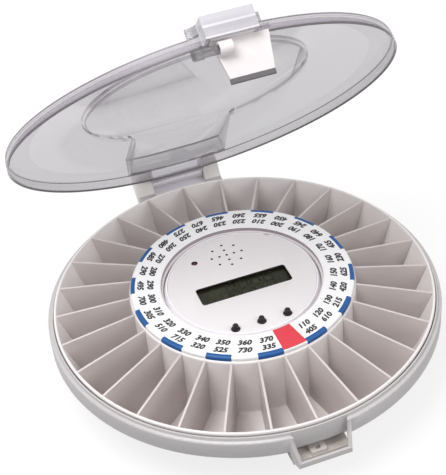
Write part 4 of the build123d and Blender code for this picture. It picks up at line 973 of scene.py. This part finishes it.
# ---------------------------------------------------------------- the case
@dataclass
class Case:
    """The bowl, the rim band with its latch pocket and ears, and the underside."""

    wall: float = 1.8
    flat_r: float = 68.0
    top_r: float = 91.5
    top_z: float = 24.0
    arc_r: float = 40.0
    cover_r: float = 45.7
    screws: int = 6
    screw_r: float = 50.0
    sink_r: float = 2.5
    sink_depth: float = 1.0
    seam: float = 0.3
    seam_ease: float = 0.3
    socket_in_r: float = 59.0
    socket_out_r: float = 65.0
    socket_z: float = 5.4

    def bowl(self) -> None:
        """The round bowl, spun from its section."""
        run, rise = self.top_r - self.flat_r, self.top_z
        half = math.hypot(run, rise) / 2
        reach = math.sqrt(self.arc_r**2 - half**2)
        centre = (
            (self.flat_r + self.top_r) / 2 - reach * rise / (2 * half),
            self.top_z / 2 + reach * run / (2 * half),
        )
        low = math.degrees(math.atan2(0 - centre[1], self.flat_r - centre[0]))
        high = math.degrees(math.atan2(self.top_z - centre[1], self.top_r - centre[0]))
        outer = arc(centre, self.arc_r, low, high, 24)
        inner = arc(centre, self.arc_r - self.wall, high, low + 2.2, 24)
        inner = [p for p in inner if p[1] > self.wall]
        mouth, ease = self.cover_r + self.seam, self.seam_ease
        section = [(mouth, self.wall), (mouth, ease), (mouth + ease, 0)]
        section += outer + inner + [(inner[-1][0] - 2.5, self.wall)]
        section += [
            (self.socket_out_r, self.wall),
            (self.socket_out_r, self.socket_z - ease),
            (self.socket_out_r - ease, self.socket_z),
            (self.socket_in_r + ease, self.socket_z),
            (self.socket_in_r, self.socket_z - ease),
            (self.socket_in_r, self.wall),
        ]
        skin = Bench.lathe("bowl_skin", section)
        self.sink_screws(skin)
        Bench.smooth(skin)
        fit(skin, "case", Finish.CASE, "base_bowl")

    def sink_screws(self, skin: bpy.types.Object) -> None:
        """Cut the counterbores under the screw heads."""
        for i in range(self.screws):
            angle = TURN * i / self.screws
            place = Vector((self.screw_r * math.cos(angle), self.screw_r * math.sin(angle), 0)) * MM
            Bench.clear()
            sink = {"radius": self.sink_r * MM, "depth": 2 * self.sink_depth * MM}
            bpy.ops.mesh.primitive_cylinder_add(vertices=40, location=place, **sink)
            cutter = bpy.context.object
            Bench.settle(cutter)
            Bench.cut(skin, cutter)

    def band(self) -> None:
        """The rim band, with rounded edges."""
        band = Bench.welded_copy("rim_band", "rim_moulding")
        Bench.round_edges(band, 0.35, 2, 40.0)
        Bench.smooth(band)
        fit(band, "case", Finish.BAND, "rim_band")

    def keeper(self) -> None:
        """The white tab with a hole below the pocket."""
        tab = Bench.welded_copy("keeper_post", "keeper_tab")
        Bench.round_edges(tab, 0.3, 2, 40.0)
        Bench.smooth(tab)
        fit(tab, "case", Finish.KEEPER, "keeper_post")

    def underside(self) -> None:
        """Cover, door, feet and screws."""
        dress(Finish.CASE, "bottom_cover", "battery_door", "battery_box")
        dress(Finish.COVER, "centre_drum")
        dress(Finish.RUBBER, "rubber_feet")
        dress(Finish.GEAR, "tray_glides", "gear_bracket")
        dress(Finish.PIN, "hinge_pin")
        dress(Finish.COVER, "hinge_cover")
        dress(Finish.STEEL, "drum_screws", "cover_screws", "bracket_screws", "gear_axle")
        dress(Finish.SLEEVE, "batteries")
        dress(Finish.BRIGHT, "battery_contacts", "motor_can")

    def build(self) -> None:
        """Make all of it."""
        self.bowl()
        self.band()
        self.keeper()
        self.underside()


# ---------------------------------------------------------------- the tray
@dataclass
class Tray:
    """The turning tray: one shell of revolution with 28 dividers."""

    compartments: int = 28
    rim_z: float = 36.0
    inner_r: float = 90.5
    wall: float = 1.5
    draft: float = 19.0
    cove_r: float = 18.0
    floor_z: float = 9.0
    hub_r: float = 54.6
    hub_wall: float = 1.5
    deck_z: float = 41.4
    deck: float = 1.6
    bore_r: float = 38.1
    shaded_divider: float = 1.2

    def _cove(self) -> Point:
        """Centre of the round between floor and outer wall."""
        lean = math.radians(self.draft)
        height = self.floor_z + self.cove_r
        down = (self.rim_z + self.cove_r * math.sin(lean) - height) / math.cos(lean)
        return self.inner_r - self.cove_r * math.cos(lean) - down * math.sin(lean), height

    def shell(self) -> None:
        """Floor, outer wall, hub wall and deck in one piece."""
        centre = self._cove()
        inner = arc(centre, self.cove_r, -90, -self.draft, 14)
        outer = arc(centre, self.cove_r + self.wall, -self.draft, -90, 14)
        rim_out = self.inner_r + self.wall
        rim = arc((self.inner_r + 0.75, self.rim_z - 0.7), 0.7, 160, 0, 6)
        hub_in = self.hub_r - self.hub_wall
        under = self.deck_z - self.deck
        foot = arc((self.hub_r + 1.0, self.floor_z + 1.0), 1.0, 180, 270, 4)
        shoulder = arc((self.hub_r - 1.2, self.deck_z - 1.2), 1.2, 90, 0, 5)
        section = inner + rim + [(rim_out, self.rim_z - 1.4)] + outer
        section += [(hub_in, self.floor_z - self.wall), (hub_in, under), (self.bore_r, under)]
        section += [(self.bore_r, self.deck_z)] + shoulder + foot
        shell = Bench.lathe("tray_shell", section)
        Bench.smooth(shell)
        nodes = ("tray_floor", "tray_cove", "tray_wall", "tray_hub")
        fit(shell, "tray", Finish.TRAY, *nodes)

    def dividers(self) -> None:
        """One divider with rounded top edges, copied round the hub."""
        centre = self._cove()
        edge = arc(centre, self.cove_r + 0.3, -self.draft, -90, 14)
        half = self.shaded_divider / 2
        shape = [(self.hub_r - 0.4, self.floor_z - 0.3), (self.hub_r - 0.4, self.deck_z - 0.25)]
        shape += [(self.inner_r + 0.3, self.rim_z - 0.05)] + edge
        corners = [Vector((r * MM, -half * MM, z * MM)) for r, z in shape]
        blade = Bench.prism("shaded_divider", corners, Vector((0, self.shaded_divider * MM, 0)))
        Bench.round_edges(blade, 0.28, 2, 50.0)
        step = 360 / self.compartments
        turned = Bench.copy_around(blade, [-90 + step * i for i in range(self.compartments)])
        bpy.data.objects.remove(blade)
        fan = Bench.join("tray_fins", turned)
        Bench.smooth(fan)
        # The dividers wear the tray's plastic painted darker as shade.
        fit(fan, "tray", Finish.SHADED_DIVIDER, "tray_dividers")

    def build(self) -> None:
        """Make all of it."""
        self.shell()
        self.dividers()
        dress(Finish.GEAR, "ring_gear")


@dataclass
class DoseRing:
    """The printed ring that lifts off the tray, with its numerals."""

    inner_r: float = 39.1
    outer_r: float = 53.8
    low_z: float = 41.4
    thick: float = 2.2
    lip: float = 1.0
    sectors: int = 28

    def ring(self) -> None:
        """The ring, spun from its section."""
        top = self.low_z + self.thick
        section = eased(
            [
                (self.inner_r, self.low_z, 0),
                (self.outer_r, self.low_z, 0),
                (self.outer_r, top, self.lip),
                (self.inner_r, top, 0.4),
            ]
        )
        ring = Bench.lathe("dose_ring", section, 224)
        Bench.smooth(ring)
        fit(ring, "ring", Finish.RING, "dosage_ring")

    def numerals(self) -> None:
        """Two rows of slanted numerals, their tops towards the middle."""
        rows = ((44.2, 2.9, self._day), (49.0, 2.9, self._hour))
        made = []
        top = self.low_z + self.thick
        for radius, height, label in rows:
            for sector in range(1, self.sectors):
                angle = math.radians(-90 + 360 / self.sectors * (sector + 0.5))
                Bench.clear()
                bpy.ops.object.text_add(location=(0, 0, 0))
                word = bpy.context.object
                word.data.body = label(sector)
                word.data.size = height * 1.45 * MM
                word.data.align_x = "CENTER"
                word.data.align_y = "CENTER"
                word.data.shear = 0.25
                word.data.offset = 0.21 * MM
                word.data.extrude = 0.02 * MM
                word.data.resolution_u = 2
                Bench.pick(word)
                bpy.ops.object.convert(target="MESH")
                word = bpy.context.object
                place = Vector((radius * math.cos(angle), radius * math.sin(angle), top + 0.021))
                word.matrix_world = Matrix.Translation(place * MM) @ Matrix.Rotation(
                    angle + math.pi / 2, 4, "Z"
                )
                Bench.settle(word)
                made.append(word)
        print_row = Bench.join("ring_numerals", made)
        fit(print_row, "ring", Finish.INK)

    @staticmethod
    def _day(sector: int) -> str:
        """The inner row's numeral."""
        return f"{100 + 10 * sector}"

    @staticmethod
    def _hour(sector: int) -> str:
        """The outer row's numeral."""
        return f"{(200, 400, 600)[sector % 3] + 5 * sector}"

    def build(self) -> None:
        """Make all of it."""
        self.ring()
        self.numerals()


# ---------------------------------------------------------------- the control face
@dataclass
class ControlFace:
    """The face with its display, keys, grille and lamp."""

    keys: tuple[str, ...] = ("left", "middle", "right")
    top_z: float = 42.2
    rim_r: float = 30.0
    window_y: float = -2.8
    window_half: Point = (23.5, 6.7)
    key_x: float = -1.5
    key_y: float = -30.0
    key_pitch: float = 12.9
    key_proud: float = 2.4
    key_flange_r: float = 2.6
    key_collar_r: float = 1.85
    key_knob_r: float = 1.35
    key_foot: float = 2.8
    key_flange: float = 2.4
    key_collar: float = 0.75
    digit_count: int = 4
    digit_x: float = 3.5
    digit_pitch: float = 6.4
    digit_h: float = 8.8
    digit_w: float = 4.2
    digit_z: float = 40.25

    def face(self) -> None:
        """The disc with its openings, and softened edges."""
        disc = Bench.welded_copy("control_face", "face_disc")
        Bench.round_outside(disc, 0.3, self._rounded)
        Bench.smooth(disc)
        fit(disc, "case", Finish.FACE, "control_face")

    def _rounded(self, middle: Vector) -> bool:
        """Whether an edge of the face is rounded: its rim and the display's opening, from above."""
        rim = math.hypot(middle.x, middle.y) > self.rim_r
        wide, high = self.window_half
        window = abs(middle.x) < wide and abs(middle.y - self.window_y) < high
        return middle.z > self.top_z - 0.1 and (rim or window)

    def buttons(self) -> None:
        """Three round keys, each on its own body: a stem, a collar and a narrower knob."""
        for i, side in enumerate(self.keys):
            x, y = self.key_x + (i - 1) * self.key_pitch, self.key_y
            top = self.top_z + self.key_proud
            foot, flange = self.top_z - self.key_foot, self.top_z - self.key_flange
            collar = self.top_z + self.key_collar
            section = eased(
                [
                    (0, foot, 0),
                    (self.key_flange_r, foot, 0),
                    (self.key_flange_r, flange, 0),
                    (self.key_collar_r, flange, 0),
                    (self.key_collar_r, collar, 0.2),
                    (self.key_knob_r, collar, 0),
                    (self.key_knob_r, top, 0.3),
                    (0, top, 0),
                ],
                3,
            )
            key = Bench.rod(f"key_{side}_cap", section, Vector((x, y, 0)), "Z", 40)
            Bench.smooth(key)
            fit(key, f"key_{side}", Finish.KEY, f"button_{side}")

    def digits(self) -> None:
        """Faint seven-segment digits under the display's window."""
        bars = []
        for i in range(self.digit_count):
            x = self.digit_x + (i - (self.digit_count - 1) / 2) * self.digit_pitch
            bars += self._digit(x, self.window_y)
        row = Bench.join("display_digits", bars)
        fit(row, "case", Finish.DIGIT)

    def _digit(self, x: float, y: float) -> list[bpy.types.Object]:
        """Seven bars that make one digit, around a place in millimetres."""
        high, wide, thick = self.digit_h, self.digit_w, 1.0
        level = [(0, high / 2), (0, 0), (0, -high / 2)]
        upright = [(x * wide / 2, y * high / 4) for y in (1, -1) for x in (-1, 1)]
        sizes = [(level, (wide - 0.9, thick)), (upright, (thick, high / 2 - 0.9))]
        made = []
        for places, (across, along) in sizes:
            for dx, dy in places:
                Bench.clear()
                spot = Vector((x + dx, y + dy, self.digit_z)) * MM
                bpy.ops.mesh.primitive_cube_add(size=MM, location=spot)
                bar = bpy.context.object
                bar.scale = (across, along, 0.04)
                Bench.settle(bar)
                made.append(bar)
        return made

    def build(self) -> None:
        """Make all of it."""
        self.face()
        self.buttons()
        self.digits()
        dress(Finish.WINDOW, "lcd_window")
        dress(Finish.CELL, "lcd_panel")
        dress(Finish.BLACK, "lcd_holder", "controller_chip", "index_switch")
        dress(Finish.BOARD, "control_board")
        dress(Finish.BRIGHT, "key_switches")
        dress(Finish.SOUNDER, "sounder")
        dress(Finish.LAMP, "alert_led")


# ---------------------------------------------------------------- the lid
@dataclass
class Lid:
    """The clear lid with its latch housing, the tongue, the strip and the lock barrel."""

    skirt: Point = (93.9, 38.2)
    foot: Point = (55.4, 45.4)
    lip: Point = (94.2, 32.8)
    round_r: float = 1.5
    skirt_from: float = 91.0
    round_slack: float = 0.03
    cone_slack: float = 0.07
    skirt_slack: float = 0.09

    def true_normals(self, shell: bpy.types.Object) -> None:
        """Give the turned faces the normals of the cone, the skirt and the round between them."""
        lean = math.atan2(self.foot[1] - self.skirt[1], self.skirt[0] - self.foot[0])
        upright = math.atan2(self.lip[0] - self.skirt[0], self.skirt[1] - self.lip[1])
        centre = self._round_centre(lean, upright)
        mesh = shell.data
        opened, pivot = LID_SHUT.inverted(), HINGE_PIVOT * MM
        closed = [LID_SHUT @ (corner.co - pivot) + pivot for corner in mesh.vertices]
        normals = [Vector(corner.vector) for corner in mesh.corner_normals]
        for face in mesh.polygons:
            spots = [closed[i] for i in face.vertices]
            tilt = self._tilt(LID_SHUT @ face.normal, sum(spots, Vector()))
            corners = [(math.hypot(spot.x, spot.y) / MM, spot.z / MM) for spot in spots]
            reach = [math.hypot(r - centre[0], z - centre[1]) for r, z in corners]
            rounded = all(abs(r - self.round_r) < self.round_slack for r in reach)
            rounded = rounded and all(z > centre[1] - 0.2 for _, z in corners)
            for loop, (r, z) in zip(face.loop_indices, corners):
                if rounded:
                    angle = math.atan2(z - centre[1], r - centre[0])
                elif tilt is not None and abs(tilt - (math.pi / 2 - lean)) < self.cone_slack:
                    angle = math.pi / 2 - lean
                elif tilt is not None and abs(tilt + math.pi / 2 + lean) < self.cone_slack:
                    angle = -math.pi / 2 - lean
                elif tilt is not None and r > self.skirt_from and self.skirt_slack > min(
                    abs(tilt - upright), abs(abs(tilt) - math.pi)
                ):
                    angle = upright if abs(tilt) < 1 else math.pi
                else:
                    continue
                spot = closed[mesh.loops[loop].vertex_index]
                out = Vector((spot.x, spot.y, 0)).normalized() * math.cos(angle)
                normals[loop] = opened @ (out + Vector((0, 0, math.sin(angle))))
        mesh.normals_split_custom_set(normals)

    def _round_centre(self, lean: float, upright: float) -> Point:
        """Where the round's centre lies, inside both the cone's line and the skirt's line."""
        cone = (math.sin(lean), math.cos(lean))
        skirt = (math.cos(upright), math.sin(upright))
        level = cone[0] * self.skirt[0] + cone[1] * self.skirt[1] - self.round_r
        out = skirt[0] * self.skirt[0] + skirt[1] * self.skirt[1] - self.round_r
        cross = cone[0] * skirt[1] - cone[1] * skirt[0]
        return (
            (level * skirt[1] - cone[1] * out) / cross,
            (cone[0] * out - level * skirt[0]) / cross,
        )

    @staticmethod
    def _tilt(normal: Vector, place: Vector) -> float | None:
        """A normal's angle above the level, or nothing where it doesn't lie in the radial plane."""
        away = Vector((place.x, place.y, 0)).normalized()
        if abs(normal.dot(away.cross(Vector((0, 0, 1))))) > 0.12:
            return None
        return math.atan2(normal.z, normal.dot(away))

    def build(self) -> None:
        """Make all of it."""
        shell = Bench.welded_copy("lid_shell", "lid_moulding", 0.02)
        Bench.smooth(shell, 25.0)
        self.true_normals(shell)
        fit(shell, "lid", Finish.CLEAR, "lid_shell")
        tongue = Bench.welded_copy("latch_tongue", "tongue_moulding")
        Bench.round_edges(tongue, 0.3, 2, 40.0)
        Bench.smooth(tongue)
        fit(tongue, "lid", Finish.MILKY, "latch_tongue")
        strip = Bench.welded_copy("latch_strip", "tongue_strip")
        Bench.smooth(strip)
        fit(strip, "lid", Finish.DARK, "latch_strip")
        barrel = Bench.welded_copy("lock_barrel", "lock_rod")
        Bench.smooth(barrel)
        fit(barrel, "lock", Finish.ROD, "lock_barrel")


@dataclass
class Drive:
    """The gear train in the drum."""

    def build(self) -> None:
        """Dress the gears and shafts."""
        gears = ("tray_pinion", "drive_gear", "index_cam", "reduction_gear", "motor_pinion")
        dress(Finish.GEAR, *gears)
        dress(Finish.STEEL, "drive_shaft", "motor_shaft")


# ---------------------------------------------------------------- the studio
@dataclass
class Studio:
    """A pale floor, soft light and the camera."""

    eye: Colour = (-138.5, -441.0, 446.9)
    across: Colour = (0.9368, -0.3418, -0.0744)
    up: Colour = (0.2713, 0.5756, 0.7715)
    lens: float = 96.89
    floor_z: float = -2.0
    floor_white: float = 0.8

    def camera(self) -> None:
        """The camera, looking down at the front of the case."""
        Bench.clear()
        bpy.ops.object.camera_add()
        camera = bpy.context.object
        camera.name = "camera"
        side, rise = Vector(self.across).normalized(), Vector(self.up)
        back = side.cross(rise).normalized()
        rise = back.cross(side)
        turn = Matrix((side, rise, back)).transposed().to_4x4()
        camera.matrix_world = Matrix.Translation(Vector(self.eye) * MM) @ turn
        camera.data.lens = self.lens
        camera.data.sensor_width = 36.0
        camera.data.clip_start = 0.01
        bpy.context.scene.camera = camera

    def floor(self) -> None:
        """A wide pale floor that stays white to the camera but keeps the shadow."""
        Bench.clear()
        bpy.ops.mesh.primitive_plane_add(size=8.0, location=(0, 0, self.floor_z * MM))
        floor = bpy.context.object
        floor.name = "floor"
        paint = Paint("floor_paint")
        white = paint.node("ShaderNodeEmission", {}, {"Color": (1.0, 1.0, 1.0), "Strength": 1.0})
        seen = paint.node("ShaderNodeLightPath", output="Is Camera Ray")
        for ray in ("Is Glossy Ray", "Is Transmission Ray"):
            seen = seen.highest(paint.node("ShaderNodeLightPath", output=ray))
        tone = paint.blend(seen, (0.4, 0.4, 0.4), (0.93, 0.93, 0.93))
        shade = paint.surface(Base_Color=tone, Roughness=0.9)
        mixed = paint.node("ShaderNodeMixShader", {}, [seen * self.floor_white, shade, white])
        floor.data.materials.append(paint.done(mixed))

    def lamp(self, name: str, place: Colour, size: float, watts: float) -> None:
        """A square soft lamp aimed at the object."""
        Bench.clear()
        bpy.ops.object.light_add(type="AREA", location=place)
        lamp = bpy.context.object
        lamp.name = name
        lamp.data.size = size
        lamp.data.energy = watts
        aim = Vector((0, 0, 0.03)) - Vector(place)
        lamp.rotation_euler = aim.to_track_quat("-Z", "Y").to_euler()

    def world(self) -> None:
        """A pale surround, white where it is seen directly or in gloss."""
        world = bpy.data.worlds.new("surround")
        bpy.context.scene.world = world
        world.use_nodes = True
        tree = world.node_tree
        tree.nodes.clear()
        out = tree.nodes.new("ShaderNodeOutputWorld")
        back = tree.nodes.new("ShaderNodeBackground")
        path = tree.nodes.new("ShaderNodeLightPath")
        seen = tree.nodes.new("ShaderNodeMath")
        seen.operation = "MAXIMUM"
        tree.links.new(path.outputs["Is Camera Ray"], seen.inputs[0])
        tree.links.new(path.outputs["Is Glossy Ray"], seen.inputs[1])
        level = tree.nodes.new("ShaderNodeMapRange")
        tree.links.new(seen.outputs["Value"], level.inputs["Value"])
        level.inputs["To Min"].default_value = 0.45
        level.inputs["To Max"].default_value = 1.0
        tree.links.new(level.outputs["Result"], back.inputs["Strength"])
        back.inputs["Color"].default_value = (1, 1, 1, 1)
        tree.links.new(back.outputs["Background"], out.inputs["Surface"])

    def build(self) -> None:
        """Make all of it."""
        self.camera()
        self.floor()
        self.world()
        self.lamp("key_lamp", (-0.45, -0.1, 1.2), 0.7, 14.0)
        self.lamp("fill_lamp", (0.7, -0.8, 0.8), 0.8, 4.5)
        bpy.context.scene.view_settings.view_transform = "Standard"


def main() -> None:
    """Build the dispenser and its studio."""
    logging.basicConfig(level=logging.INFO, format="%(message)s")
    for part in (Studio(), Case(), Tray(), DoseRing(), ControlFace(), Lid(), Drive()):
        part.build()
        LOG.info("%s built", type(part).__name__)
    Bench.clear()


if __name__ == "__main__":
    main()
